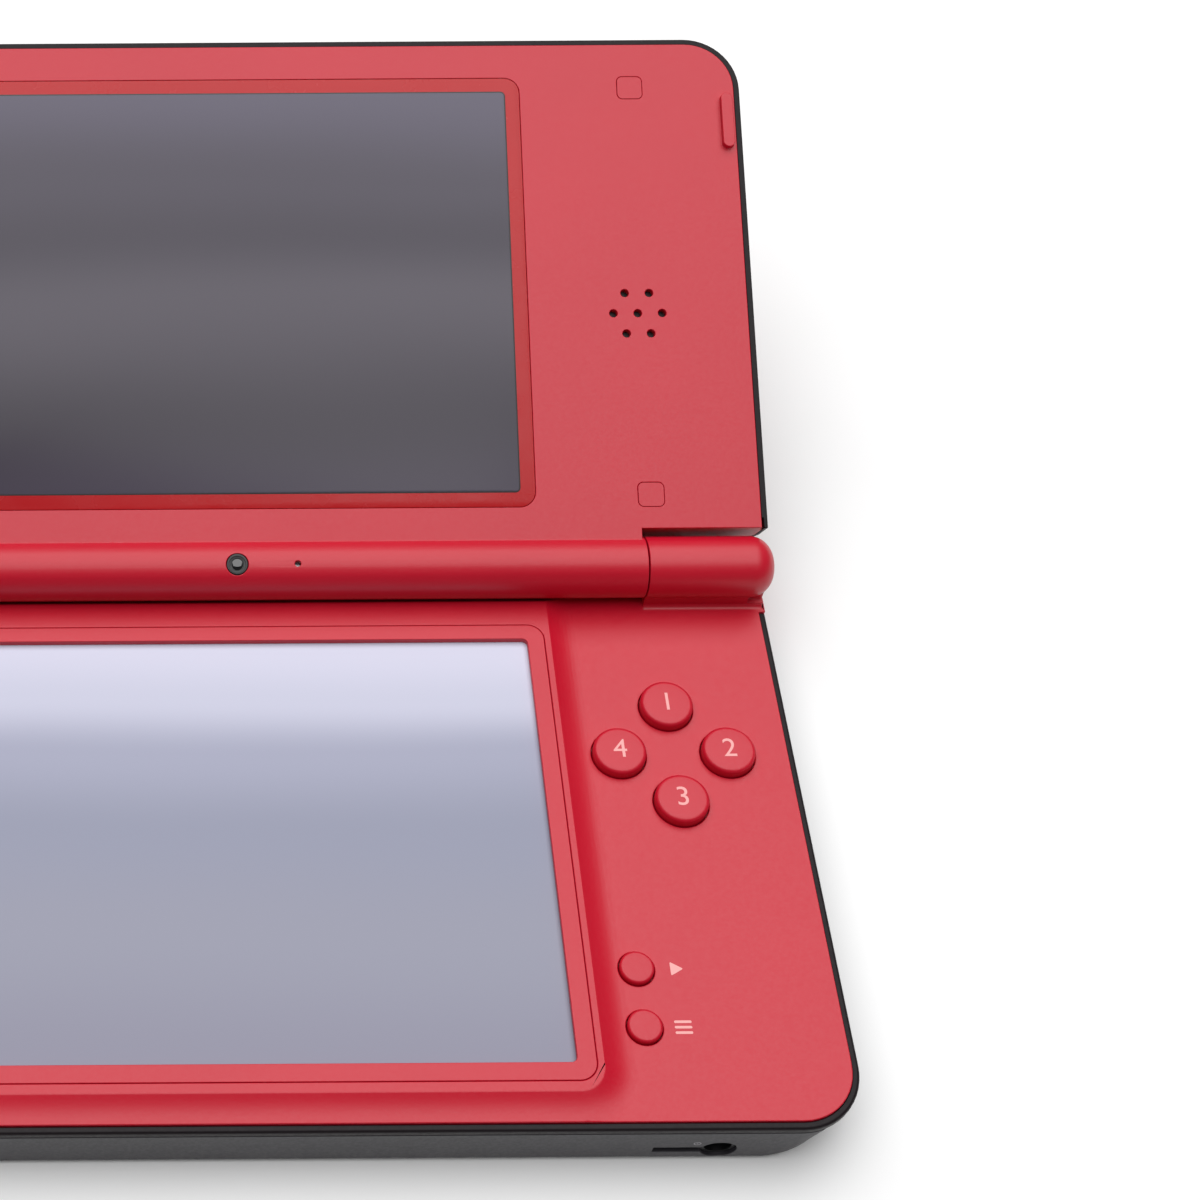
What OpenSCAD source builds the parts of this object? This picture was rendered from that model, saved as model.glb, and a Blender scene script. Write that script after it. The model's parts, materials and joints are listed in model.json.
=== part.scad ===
// Clamshell handheld game console, open at its far hinge stop.
// Millimetres. X to the player's right, Y to the back, Z up. The origin is on the table,
// under the middle of the base. Lid pieces are drawn flat, with Y along the lid from the
// hinge axis and Z out of its inner face, then turned to the open angle.

/* [Overall] */
// Width of the base and the lid, without the hinge knuckles' bulge
body_w = 159.4; // [157:0.2:166]
// Depth of the base from its front rim to its back
base_d = 91.4; // [90:0.2:98]
// Height of the closed console on the table
closed_h = 21.2; // [20.4:0.1:23]
// Angle from the base's face to the lid's face at the open stop
open_angle = 155; // [120:1:170]
// Corner radius of the front corners and of the lid's far corners, seen from above
corner_r = 8.5; // [7:0.1:10]
// Corner radius of the back corners
back_corner_r = 5; // [4.5:0.1:6]
// Rounding where the lid's sides run into its outside
edge_r = 3.4; // [2.4:0.1:3.6]
// Rounding where the base's sides run into its underside
base_edge_r = 1; // [0.6:0.1:1.3]
// Radius that the base's front corners widen to at the underside
foot_corner_r = 12.5; // [9.5:0.1:14]

/* [Base shells] */
// Height of the side panels over the table
panel_z = 11; // [10.8:0.05:12]
// How far the rubber feet hold the base off the table
foot_h = 0.4; // [0.2:0.05:0.6]
// Floor of the lower shell
floor_t = 1.6; // [1.4:0.05:1.8]
// Side wall of the lower shell
wall_t = 1.4; // [1.3:0.05:1.8]
// Thickness of the faceplate
panel_t = 1.4; // [1.2:0.05:1.5]
// Height of the faceplate's edge over the top of the lower shell
panel_edge = 1.75; // [1.7:0.05:1.95]
// Width of the dark rim round the faceplate and round the lid's face
rim_w = 1; // [0.8:0.05:1.2]
// How far the rim lies under the face it frames
rim_drop = 0.35; // [0.1:0.05:0.6]
// Height of the groove between the rim and the lower shell
groove_h = 0.2; // [0.1:0.05:0.4]
// Depth of that groove
groove_d = 0.4; // [0.2:0.05:0.5]

/* [Raised screen field] */
// Height of the field round the touch screen over the side panels
plateau_h = 1.5; // [1.4:0.05:1.7]
// Half width of the field's flat top
plateau_half_w = 46.45; // [46.2:0.05:46.9]
// Distance of the flat top's front edge from the hinge axis
plateau_front = 79.95; // [79.4:0.05:80.4]
// Width of the concave slope at the field's foot
slope_w = 4.6; // [2:0.1:5]

/* [Screens] */
// Width of the ring round the touch screen, to its seam
frame_w = 91.1; // [90.6:0.1:91.6]
// Depth of that ring
frame_d = 70.4; // [70:0.1:71]
// Corner radius of the seam
frame_r = 2.5; // [1.5:0.1:3.5]
// Width of the opening inside the ring
opening_w = 86; // [85.4:0.1:86.6]
// Depth of that opening
opening_d = 65.4; // [64.8:0.1:66]
// Distance of the lower screen's middle from the hinge axis
lower_screen_y = 43.4; // [43.2:0.05:43.6]
// How deep the touch panel lies in the ring
touch_recess = 1; // [0.8:0.05:1.2]
// Thickness of the touch panel
touch_t = 1.2; // [1:0.05:1.3]
// Thickness of each display module
lcd_t = 2.5; // [2.2:0.05:2.6]
// Thickness of the metal tray under the lower display
tray_t = 0.4; // [0.3:0.05:0.5]
// Width of the window over the upper screen
lens_w = 89.9; // [89:0.1:90.4]
// Depth of that window
lens_d = 69.1; // [68.6:0.1:69.6]
// Thickness of the window
lens_t = 0.8; // [0.6:0.05:0.9]
// Distance of the upper screen's middle from the hinge axis
upper_screen_y = 43.35; // [43.1:0.05:43.6]

/* [Hinge] */
// Distance of the hinge axis in from the back of the base
hinge_setback = 6.9; // [6.6:0.05:7.6]
// Height of the hinge axis over the raised field
hinge_over_field = 3.1; // [2.95:0.05:3.3]
// Radius of the hinge barrel
barrel_r = 4.62; // [4.5:0.02:4.7]
// Distance of the barrel seams from the middle of the console
seam_x = 61.2; // [59.8:0.1:61.8]
// Width of the barrel seams
seam_gap = 0.2; // [0.2:0.05:0.5]
// How far each knuckle stands out past the side of the base
knuckle_bulge = 0.8; // [0.3:0.1:1.2]
// Rounding of the knuckles' outer ends
knuckle_r = 3.5; // [2.5:0.1:4]
// Radius of the plain pin in the left knuckle
pin_r = 1.5; // [1.2:0.05:1.8]
// Radius of the shaft in the right knuckle
shaft_r = 1.6; // [1.3:0.05:1.8]
// Radius of the click unit's housing in the barrel
housing_r = 3; // [2.8:0.05:3.1]

/* [Lid] */
// Distance of the lid's end walls from the hinge axis, beside the knuckles
notch_y = 5.4; // [5.2:0.05:5.8]
// Wall of the lid's outer shell
lid_wall_t = 1.4; // [1.3:0.05:1.8]
// Thickness of the lid's inner face
lid_face_t = 1.4; // [1.3:0.05:1.6]
// Thickness of the glossy plate on the lid's outside
cover_t = 0.7; // [0.5:0.05:0.9]
// Border of the outer shell round that plate
cover_border = 4; // [3.6:0.1:8]
// Height of the two closing ridges beside the face
ridge_h = 1; // [0.5:0.05:1.2]
// Length of the closing ridges
ridge_l = 9; // [5:0.1:10]
// Diameter of a speaker hole
speaker_hole_d = 1.25; // [0.8:0.05:1.6]
// Distance between neighbouring speaker holes
speaker_pitch = 3.74; // [3:0.02:4.2]
// Distance of the speakers from the middle of the console
speaker_x = 61.8; // [60:0.1:63]
// Distance of the speakers from the hinge axis
speaker_y = 39.1; // [35:0.1:45]
// Diameter of a speaker
speaker_d = 14; // [12:0.5:15]

/* [Face controls] */
// Diameter of the four face buttons
button_d = 7.6; // [6.6:0.1:8]
// Height of the face buttons over the side panel
button_h = 1.55; // [1.2:0.05:1.6]
// Distance of a face button from the middle of its group
button_spread = 7.8; // [7.4:0.05:8]
// Distance of the two groups of controls from the middle of the console
controls_x = 62.2; // [61.8:0.1:62.8]
// Distance of the two groups of controls from the hinge axis
controls_y = 29.8; // [28:0.1:31]
// Length of the direction pad from tip to tip
dpad_l = 20.4; // [18:0.2:21]
// Width of the direction pad's arms
dpad_arm = 6.8; // [6:0.1:7.4]
// Height of the direction pad over the side panel
dpad_h = 0.9; // [0.5:0.05:0.95]
// Diameter of the start, select and power buttons
small_button_d = 4.6; // [4:0.1:5]
// Height of those buttons over the side panel
small_button_h = 0.8; // [0.5:0.05:1.2]
// Distance of those buttons from the middle of the console
small_button_x = 52.55; // [52.4:0.05:54]
// Distance of the start button from the hinge axis
start_y = 62.7; // [61:0.1:63]
// Distance of the select and power buttons from the hinge axis
select_y = 70.9; // [69.5:0.1:71.5]
// How far a button travels
button_travel = 0.8; // [0.5:0.05:0.9]

/* [Side and back controls] */
// Length of a shoulder button along the back
shoulder_w = 24; // [22:0.2:25]
// Length of a shoulder button along the side
shoulder_side = 8.4; // [7:0.1:8.6]
// Thickness of a shoulder button
shoulder_t = 3; // [2.6:0.1:3.2]
// Height of a shoulder button
shoulder_h = 6.4; // [5:0.1:6.6]
// Radius of the shoulder buttons' pins
shoulder_pin_r = 0.9; // [0.7:0.05:1]
// Length of the volume rocker
volume_l = 17; // [12:0.5:20]
// Height of the volume rocker
volume_h = 3.2; // [2.6:0.1:3.6]
// Distance of the volume rocker from the hinge axis
volume_y = 41; // [36:0.5:46]

/* [Ports and stylus] */
// Radius of the headphone jack's bore
jack_r = 1.8; // [1.75:0.01:1.85]
// Depth of the headphone jack's bore
jack_depth = 11; // [9:0.5:11.5]
// Distance of the headphone jack from the middle of the console
jack_x = 61.5; // [60.5:0.1:62.5]
// Height of the headphone jack's centre line over the table
jack_z = 3.6; // [3.5:0.05:4.4]
// Height of the card slot's and the charge port's centre lines over the table
port_z = 4.3; // [4.3:0.05:4.6]
// Width of a game card
card_w = 33; // [32:0.1:34]
// Thickness of a game card
card_t = 3.6; // [3.2:0.1:3.8]
// Length of the card slot
card_l = 33; // [30:0.5:34]
// Width of a memory card
sd_w = 24; // [23:0.5:25]
// Thickness of the memory card's slot
sd_t = 2.3; // [2.2:0.05:2.4]
// Distance of the memory card slot from the hinge axis
sd_y = 45; // [43:0.5:46]
// Diameter of the stylus
stylus_d = 4.6; // [4:0.1:4.8]
// Length of the stylus
stylus_l = 96; // [85:1:96]
// Distance of the stylus from the hinge axis
stylus_y = 7.4; // [7.3:0.05:7.6]

/* [Inside the base] */
// Height of the main board's top over the table
board_z = 6; // [5.9:0.05:6.1]
// Thickness of the main board
board_t = 1; // [0.8:0.05:1.2]
// Width of the battery
battery_w = 42; // [38:0.5:44]
// Depth of the battery
battery_d = 34; // [30:0.5:36]
// Thickness of the battery
battery_t = 5; // [4.5:0.1:5.1]
// Diameter of the rubber feet
foot_d = 7; // [5:0.2:8]

/* [Fits] */
// Gap between the lid's face and the raised field when closed
lid_gap = 0.3; // [0.2:0.05:0.4]
// Gap round pieces set flush in a face
seam = 0.06; // [0.04:0.01:0.1]
// Gap round pieces that move through a shell
slide_gap = 0.15; // [0.1:0.01:0.25]
// Radial clearance of a pin that something turns on
running_gap = 0.05; // [0.02:0.01:0.09]
// Radial clearance of a pin or screw that is fixed
seat_gap = 0.01; // [0.01:0.01:0.03]
// Gap between the hinge barrel and the trough that it lies in
trough_gap = 0.4; // [0.3:0.05:0.5]

/* [Hidden] */
$fn = 64;
eps = 0.01;

half_w = body_w / 2;
front_y = -base_d / 2;
back_y = base_d / 2;
hinge_y = back_y - hinge_setback;
reach = hinge_y - front_y;
field_z = panel_z + plateau_h;
hinge_z = field_z + hinge_over_field;
face_off = hinge_over_field - lid_gap;
lid_t = closed_h - field_z - lid_gap;
outer_off = face_off - lid_t;
shell_top = panel_z - panel_edge;
floor_z = foot_h + floor_t;
panel_under = panel_z - panel_t;
rim_back_y = hinge_y - barrel_r - 0.55;
touch_top = field_z - touch_recess;
lcd_top = touch_top - touch_t;
tray_top = lcd_top - lcd_t;
rim_seam = 0.08;

// colours as the eye takes them
matte_red = "#c8323c";
gloss_red = "#a51420";
black_shell = "#3c3a3e";
rubber_grey = "#4a484a";
steel = "#b8babd";
board_green = "#1f5a3a";

// ---- shared shapes ----

// a rectangle with round corners
module round_rect(w, d, r) {
    square([w - 2 * r, d], center = true);
    square([w, d - 2 * r], center = true);
    for (x = [-1, 1], y = [-1, 1])
        translate([x * (w / 2 - r), y * (d / 2 - r)]) circle(r);
}

module plate(w, d, h, r) {
    linear_extrude(h) round_rect(w, d, r);
}

// from 0 out to len, with the lower outer corner rounded
module edge_profile(len, h, edge) {
    translate([0, edge]) square([len, h - edge]);
    square([len - edge, h]);
    intersection() {
        square([len, h]);
        translate([len - edge, edge]) circle(edge);
    }
}

// one half of a slab: from y = 0 to depth, corners rounded in plan, lower edge rounded
module half_slab(hw, depth, h, r, edge) {
    translate([0, depth - r, 0]) rotate([90, 0, 0]) linear_extrude(depth - r)
        for (m = [0, 1]) mirror([m, 0]) edge_profile(hw, h, edge);
    translate([r - hw, 0, 0]) rotate([90, 0, 90]) linear_extrude(2 * (hw - r))
        edge_profile(depth, h, edge);
    for (m = [0, 1]) mirror([m, 0, 0]) translate([hw - r, depth - r, 0])
        rotate_extrude(angle = 90) edge_profile(r, h, edge);
}

// the front corners' taper: it ends a little short of the plan's own corner at the shell's top
taper_left = 0.15;
taper = ((foot_corner_r - corner_r) * (sqrt(2) - 1) - taper_left) / (shell_top - foot_h);

// the room inside that taper, with the sides beyond the corners left free
module taper_room(inset, z0, z1, edge) {
    r = foot_corner_r - inset + taper * (z0 - foot_h);
    h = z1 - z0 + 1;
    w = half_w - foot_corner_r;
    translate([-w, front_y - 1, z0 - 1]) cube([2 * w, base_d, h + 1]);
    translate([-body_w, front_y + foot_corner_r, z0 - 1]) cube([2 * body_w, base_d, h + 1]);
    for (x = [-w, w]) translate([x, front_y + foot_corner_r, z0]) rotate_extrude() {
        polygon([[0, edge], [r, edge], [r + taper * (h - edge), h], [0, h]]);
        square([r - edge, h]);
        intersection() {
            square([r, h]);
            translate([r - edge, edge]) circle(edge);
        }
    }
}

// the base's plan between two heights, drawn in by inset
module base_slab(inset, z0, z1, edge) {
    intersection() {
        translate([0, 0, z0]) mirror([0, 1, 0])
            half_slab(half_w - inset, -front_y - inset, z1 - z0, corner_r - inset, edge);
        taper_room(inset, z0, z1, edge);
    }
    translate([0, 0, z0])
        half_slab(half_w - inset, back_y - inset, z1 - z0, back_corner_r - inset, edge);
}

// the same plan with plain edges
module base_plan(inset) {
    w = half_w - inset;
    rf = corner_r - inset;
    rb = back_corner_r - inset;
    translate([-w, front_y + corner_r]) square([2 * w, base_d - corner_r - back_corner_r]);
    translate([rf - w, front_y + inset]) square([2 * (w - rf), corner_r]);
    translate([rb - w, back_y - back_corner_r]) square([2 * (w - rb), rb]);
    for (s = [-1, 1]) {
        translate([s * (w - rf), front_y + corner_r]) circle(rf);
        translate([s * (w - rb), back_y - back_corner_r]) circle(rb);
    }
}

// a cylinder along X
module rod(x0, x1, r) {
    translate([x0, 0, 0]) rotate([0, 90, 0]) cylinder(r = r, h = x1 - x0);
}

// places the hinge axis, for pieces of the base
module at_hinge() {
    translate([0, hinge_y, hinge_z]) children();
}

// places the lid's own frame at the open angle
module in_lid() {
    at_hinge() rotate([180 - open_angle, 0, 0]) children();
}

// places a piece of the lower screen at its middle
module at_lower_screen(z) {
    translate([0, hinge_y - lower_screen_y, z]) children();
}

// a pan head screw along +Z with its head's outer face at 0
module pan_screw(head_r, head_h, shaft_r, len) {
    cylinder(r = head_r, h = head_h);
    cylinder(r = shaft_r, h = len);
}

// ---- base: shells ----

battery_x = 8;
battery_front = 29.7;
battery_y = front_y + battery_front;
cover_margin = 2.4;
cover_tongue = 7;
cover_recess = 1.2;
cover_w = battery_w + 2 * cover_margin;
cover_d = battery_d + cover_margin + cover_tongue;
cover_y = battery_y + (cover_margin - cover_tongue) / 2;
cover_screw_x = battery_w / 2 - 4;
cover_screw_y = battery_y - battery_d / 2 - cover_tongue / 2;
cover_screw_r = 0.8;
cover_screw_l = 3.6;
cover_head_r = 1.5;
cover_head_h = 0.6;
cover_boss_r = 2;
cover_boss_h = 2.6;

screw_r = 1;
screw_head_r = 2;
screw_head_h = 0.9;
screw_well = 0.9;
boss_r = 2.5;
post_z = board_z - board_t;
screw_l = 6.6;
back_screw_side = 10;
back_screw_y = back_y - 21.7;
case_screw_at = [
    [half_w - corner_r, front_y + corner_r], [corner_r - half_w, front_y + corner_r],
    [half_w - back_screw_side, back_screw_y], [back_screw_side - half_w, back_screw_y]
];

foot_sink = 0.6;
foot_side = 19;
foot_front = 17;
foot_back = 25.7;
foot_at = [for (x = [foot_side - half_w, half_w - foot_side],
                y = [front_y + foot_front, back_y - foot_back]) [x, y]];

shoulder_z = shell_top - 0.4 - shoulder_h;
shoulder_pin_x = half_w - shoulder_w + 1.5;
shoulder_boss_r = 1.9;
shoulder_pin_y = back_y - 2.1;
shoulder_room = 1.3;
shoulder_block_w = 1.2;

jack_body_r = 2.3;
jack_y = front_y + 0.5;
slit_w = 6.6;
slit_h = 1.5;
slit_depth = 4;
slit_x = jack_x - jack_r - slit_w / 2 - 0.1;

slot_wall = 0.5;
jack_block_wall = 0.5;
port_wall = 0.5;
tube_gap = 0.1;
socket_gap = 0.3;
slot_z = port_z - card_t / 2;
port_w = 8;
port_h = 2.6;
port_x = 18;
port_l = 7;
sd_z = floor_z + 0.25;
door_l = sd_w + 3;
door_h = 4.4;
door_t = 1.2;
door_z = floor_z + 0.3;
stylus_z = floor_z + stylus_d / 2 + 0.7;
tube_wall = 0.4;
stylus_inset = 0.2;
volume_z = 5.6;

shoulder_block_y = back_y - shoulder_side - shoulder_room - shoulder_block_w;
hollow_edge = 0.4;

// the hollow of the lower shell, with the walls round the shoulder buttons' pockets left
module shell_hollow() {
    inner = shoulder_t + shoulder_room + shoulder_block_w;
    difference() {
        base_slab(wall_t, floor_z, shell_top + 1, hollow_edge);
        for (m = [0, 1]) mirror([m, 0, 0]) {
            translate([half_w - shoulder_w - shoulder_block_w - 0.7, back_y - inner, 0])
                cube([shoulder_w + 5, 20, 20]);
            translate([half_w - inner, shoulder_block_y, 0]) cube([20, 20, 20]);
        }
    }
}

// the space that a shoulder button moves in
module shoulder_pocket() {
    z0 = shoulder_z - 0.25;
    inner = shoulder_t + shoulder_room;
    translate([half_w - shoulder_w - 0.7, back_y - inner, z0])
        cube([shoulder_w + 5, inner + 5, 20]);
    translate([half_w - inner, back_y - shoulder_side - shoulder_room, z0])
        cube([inner + 5, shoulder_side + shoulder_room + 5, 20]);
}

// room for the sockets and the stylus tube in the rounded lower corner of the hollow
module socket_room() {
    slot_hw = card_w / 2 + slot_wall + seam;
    port_hw = port_w / 2 + port_wall + seam;
    back = back_y - wall_t - socket_gap + seam;
    jack_x0 = slit_x - slit_w / 2 - jack_block_wall - seam;
    e = hollow_edge;
    translate([card_x - slot_hw, back - e, floor_z]) cube([2 * slot_hw, e, e]);
    translate([port_x - port_hw, back - e, floor_z]) cube([2 * port_hw, e, e]);
    translate([jack_x0, front_y + wall_t + socket_gap - seam, floor_z])
        cube([jack_x + jack_body_r + seam - jack_x0, e, e]);
    translate([0, hinge_y - stylus_y, stylus_z])
        rod(half_w - wall_t - e, half_w - wall_t - tube_gap + seam,
            stylus_d / 2 + slide_gap + tube_wall + seam);
}

module lower_shell() {
    color(black_shell) difference() {
        union() {
            difference() {
                base_slab(0, foot_h, shell_top, base_edge_r);
                shell_hollow();
            }
            for (p = case_screw_at) translate([p[0], p[1], floor_z - eps])
                cylinder(r = boss_r, h = post_z - floor_z + eps);
            for (s = [-1, 1])
                translate([battery_x + s * cover_screw_x, cover_screw_y, floor_z - eps])
                    cylinder(r = cover_boss_r, h = cover_boss_h);
        }
        for (m = [0, 1]) mirror([m, 0, 0]) {
            shoulder_pocket();
            translate([shoulder_pin_x, shoulder_pin_y, shoulder_z - 1.3])
                cylinder(r = shoulder_pin_r + seat_gap, h = 3);
        }
        // battery bay and the recess for its cover
        translate([battery_x, battery_y, 0])
            plate(battery_w + 0.4, battery_d + 0.4, floor_z + 1, 1);
        translate([battery_x, cover_y, 0]) plate(cover_w, cover_d, foot_h + cover_recess, 2);
        for (s = [-1, 1]) translate([battery_x + s * cover_screw_x, cover_screw_y, 0])
            cylinder(r = cover_screw_r + seat_gap, h = 20);
        for (p = case_screw_at) translate([p[0], p[1], 0]) {
            cylinder(r = screw_head_r + slide_gap, h = foot_h + screw_well + screw_head_h);
            cylinder(r = screw_r + slide_gap, h = 20);
        }
        for (p = foot_at) translate([p[0], p[1], 0])
            cylinder(r = foot_d / 2 + seam, h = foot_h + foot_sink);
        // ports in the front, back and sides
        socket_room();
        // the jack's round body lies in a trough of the floor
        translate([jack_x, jack_y + jack_depth + 1 + seam, jack_z]) rotate([90, 0, 0])
            cylinder(r = jack_body_r + seam, h = jack_depth + 6);
        translate([slit_x - slit_w / 2, front_y - 1, jack_z - slit_h / 2])
            cube([slit_w, 5, slit_h]);
        translate([card_x - card_w / 2 - 0.4, back_y - 5, slot_z - 0.2])
            cube([card_w + 0.8, 10, card_t + 0.4]);
        translate([port_x - port_w / 2 - 0.3, back_y - 5, port_z - port_h / 2 - 0.3])
            cube([port_w + 0.6, 10, port_h + 0.6]);
        translate([half_w - 5, hinge_y - sd_y - door_l / 2 - slide_gap, door_z - slide_gap])
            cube([10, door_l + 2 * slide_gap, door_h + 2 * slide_gap]);
        translate([0, hinge_y - stylus_y, stylus_z])
            rod(half_w - 5, half_w + 1, stylus_d / 2 + slide_gap);
        translate([-half_w - 1, hinge_y - volume_y - volume_l / 2 - 0.35,
                   volume_z - volume_h / 2 - slide_gap])
            cube([5, volume_l + 0.7, volume_h + 2 * slide_gap]);
    }
}

module rim_band() {
    color(black_shell) difference() {
        union() {
            translate([0, 0, shell_top + groove_h]) linear_extrude(panel_edge - rim_drop - groove_h)
                difference() {
                    base_plan(0);
                    base_plan(rim_w - rim_seam);
                }
            translate([0, 0, shell_top]) linear_extrude(groove_h + eps) difference() {
                base_plan(groove_d);
                base_plan(rim_w - rim_seam);
            }
        }
        translate([-body_w, rim_back_y, 0]) cube([2 * body_w, base_d, 30]);
    }
}

// the field round the touch screen: a flat top with a concave slope down to the panels
field_steps = 8;
field_corner_r = frame_r + plateau_half_w - frame_w / 2;

module field_profile(len) {
    slope = [for (i = [0:field_steps]) let (u = i / field_steps)
        [len + u * slope_w, panel_t + plateau_h * (1 - u) * (1 - u)]];
    polygon(concat([[0, panel_t + plateau_h]], slope, [[len + slope_w, 0], [0, 0]]));
}

module field() {
    r = field_corner_r;
    y0 = hinge_y - plateau_front + r;
    translate([0, hinge_y, panel_under]) rotate([90, 0, 0]) linear_extrude(hinge_y - y0)
        for (m = [0, 1]) mirror([m, 0]) field_profile(plateau_half_w);
    translate([plateau_half_w - r, y0, panel_under]) rotate([90, 0, -90])
        linear_extrude(2 * (plateau_half_w - r)) field_profile(r);
    for (m = [0, 1]) mirror([m, 0, 0]) translate([plateau_half_w - r, y0, panel_under])
        rotate([0, 0, -90]) rotate_extrude(angle = 90) field_profile(r);
}

knuckle_foot_front = 4;
knuckle_foot_back = 4.4;
knuckle_fillet = 0.8;
knuckle_foot_in = 0.4;
knuckle_toe_front = 3.3;
knuckle_toe_back = 3.6;
knuckle_toe_top = 1;

// section of a knuckle's foot across the hinge axis, up to a height over the axis
module foot_section(front, back, top) {
    drop = hinge_z - panel_z;
    translate([-front, panel_under - hinge_z]) square([front + back, top - panel_under + hinge_z]);
    difference() {
        translate([-front - knuckle_fillet, -drop - 0.2])
            square([knuckle_fillet, knuckle_fillet + 0.2]);
        translate([-front - knuckle_fillet, knuckle_fillet - drop]) circle(knuckle_fillet);
    }
}

module knuckle() {
    x0 = seam_x + seam_gap / 2;
    x1 = half_w + knuckle_bulge;
    at_hinge() {
        translate([x0, 0, 0]) rotate([90, 0, 90]) linear_extrude(x1 - knuckle_r - x0) {
            circle(barrel_r);
            foot_section(knuckle_foot_front, knuckle_foot_back, 0);
        }
        // the foot goes on under the rounded end, set back above its fillet
        translate([x1 - knuckle_r - eps, 0, 0]) rotate([90, 0, 90])
            linear_extrude(half_w - knuckle_foot_in - x1 + knuckle_r) {
                foot_section(knuckle_foot_front, knuckle_toe_back,
                             panel_z + knuckle_fillet - hinge_z);
                translate([-knuckle_toe_front, panel_under - hinge_z])
                    square([knuckle_toe_front + knuckle_toe_back,
                            hinge_z - panel_under - knuckle_toe_top]);
            }
        translate([x0, 0, 0]) rotate([0, 90, 0]) rotate_extrude() intersection() {
            square([barrel_r, x1 - x0]);
            union() {
                square([barrel_r, x1 - x0 - knuckle_r]);
                square([barrel_r - knuckle_r, x1 - x0]);
                translate([barrel_r - knuckle_r, x1 - x0 - knuckle_r]) circle(knuckle_r);
            }
        }
    }
}

// the pin and the shaft start under the knuckles' outer ends and cross the barrel seams
knuckle_end = half_w + knuckle_bulge;
pin_end_wall = 8.5;
pin_reach = 11.6;
shaft_end_wall = 7.5;
shaft_reach = 8.6;
pin_x = [pin_end_wall - knuckle_end, pin_reach - seam_x];
shaft_x = [seam_x - shaft_reach, knuckle_end - shaft_end_wall];
lens_at = [for (i = [0:2]) [-half_w + 3.6, hinge_y - 10 - 3.4 * i]];
lens_l = 2.2;
lens_r = 0.5;

button_at = [
    [controls_x + button_spread, hinge_y - controls_y],
    [controls_x, hinge_y - controls_y - button_spread],
    [controls_x, hinge_y - controls_y + button_spread],
    [controls_x - button_spread, hinge_y - controls_y]
];
start_at = [small_button_x, hinge_y - start_y];
select_at = [small_button_x, hinge_y - select_y];
power_at = [-small_button_x, hinge_y - select_y];
dpad_room = 0.4;

module dpad_cross(grow) {
    square([dpad_l + 2 * grow, dpad_arm + 2 * grow], center = true);
    square([dpad_arm + 2 * grow, dpad_l + 2 * grow], center = true);
}

module faceplate() {
    color(matte_red) difference() {
        union() {
            translate([0, 0, panel_under]) linear_extrude(panel_t) base_plan(rim_w);
            translate([0, 0, shell_top]) linear_extrude(panel_edge) intersection() {
                base_plan(0);
                translate([-body_w, rim_back_y + seam]) square([2 * body_w, base_d]);
            }
            translate([0, 0, shell_top]) linear_extrude(panel_under - shell_top + eps)
                difference() {
                    base_plan(rim_w);
                    base_plan(rim_w + 1);
                }
            // the slope's foot is cut off by the face's front edge
            intersection() {
                field();
                linear_extrude(2 * hinge_z) base_plan(rim_w);
            }
            for (m = [0, 1]) mirror([m, 0, 0]) knuckle();
            for (p = case_screw_at) translate([p[0], p[1], board_z])
                cylinder(r = boss_r, h = panel_z - board_z - 0.2);
        }
        at_lower_screen(0) plate(frame_w, frame_d, 30, frame_r);
        at_hinge() rod(-seam_x - seam_gap / 2, seam_x + seam_gap / 2, barrel_r + trough_gap);
        at_hinge() rod(pin_x[0] - seam, -seam_x + 1, pin_r + seat_gap);
        at_hinge() rod(seam_x - 1, shaft_x[1] + seam, shaft_r + seat_gap);
        for (p = case_screw_at) translate([p[0], p[1], 0])
            cylinder(r = screw_r + seat_gap, h = panel_z - 2);
        for (p = button_at) translate([p[0], p[1], 0])
            cylinder(r = button_d / 2 + slide_gap, h = 20);
        for (p = [start_at, select_at, power_at]) translate([p[0], p[1], 0])
            cylinder(r = small_button_d / 2 + slide_gap, h = 20);
        translate([-controls_x, hinge_y - controls_y, panel_under - 1]) linear_extrude(4)
            dpad_cross(dpad_room);
        for (p = lens_at) translate([p[0], p[1], 0]) linear_extrude(20)
            round_rect(2 * (lens_r + seam), lens_l + 2 * seam, lens_r + seam - eps);
        for (m = [0, 1]) mirror([m, 0, 0]) translate([shoulder_pin_x, shoulder_pin_y, 0])
            cylinder(r = shoulder_pin_r + seat_gap, h = shell_top + 0.8);
    }
}

// ---- base: screen ----

module screen_frame() {
    color(matte_red) at_lower_screen(touch_top) difference() {
        plate(frame_w - 2 * seam, frame_d - 2 * seam, touch_recess, frame_r - seam);
        translate([0, 0, -1]) plate(opening_w, opening_d, 5, 0.8);
    }
}

module touch_panel() {
    color("#c3c6d3") at_lower_screen(lcd_top) plate(frame_w - 1.2, frame_d - 1.2, touch_t, 1.5);
}

module lower_lcd() {
    color("#8c8f9a") at_lower_screen(tray_top) plate(frame_w - 3, frame_d - 3, lcd_t, 1);
}

tray_margin = 0.5;
tray_foot_r = 1.2;
tray_foot_x = frame_w / 2 - tray_margin - tray_foot_r - 0.85;
tray_foot_front = 6.2;
tray_foot_back = 23.2;
tray_foot_at = [for (x = [-tray_foot_x, tray_foot_x],
                     y = [tray_foot_front - frame_d / 2, frame_d / 2 - tray_foot_back]) [x, y]];

module lcd_tray() {
    color(steel) at_lower_screen(tray_top - tray_t) {
        plate(frame_w - 2 * tray_margin, frame_d - 2.4, tray_t, 1);
        for (p = tray_foot_at) translate([p[0], p[1], board_z + tray_t - tray_top])
            cylinder(r = tray_foot_r, h = tray_top - tray_t - board_z + eps);
    }
}

// ---- base: inside ----

board_half_w = half_w - 6.5;
board_front = front_y + 6.2;
board_back = hinge_y - stylus_y - stylus_d / 2 - 1.2;

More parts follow.
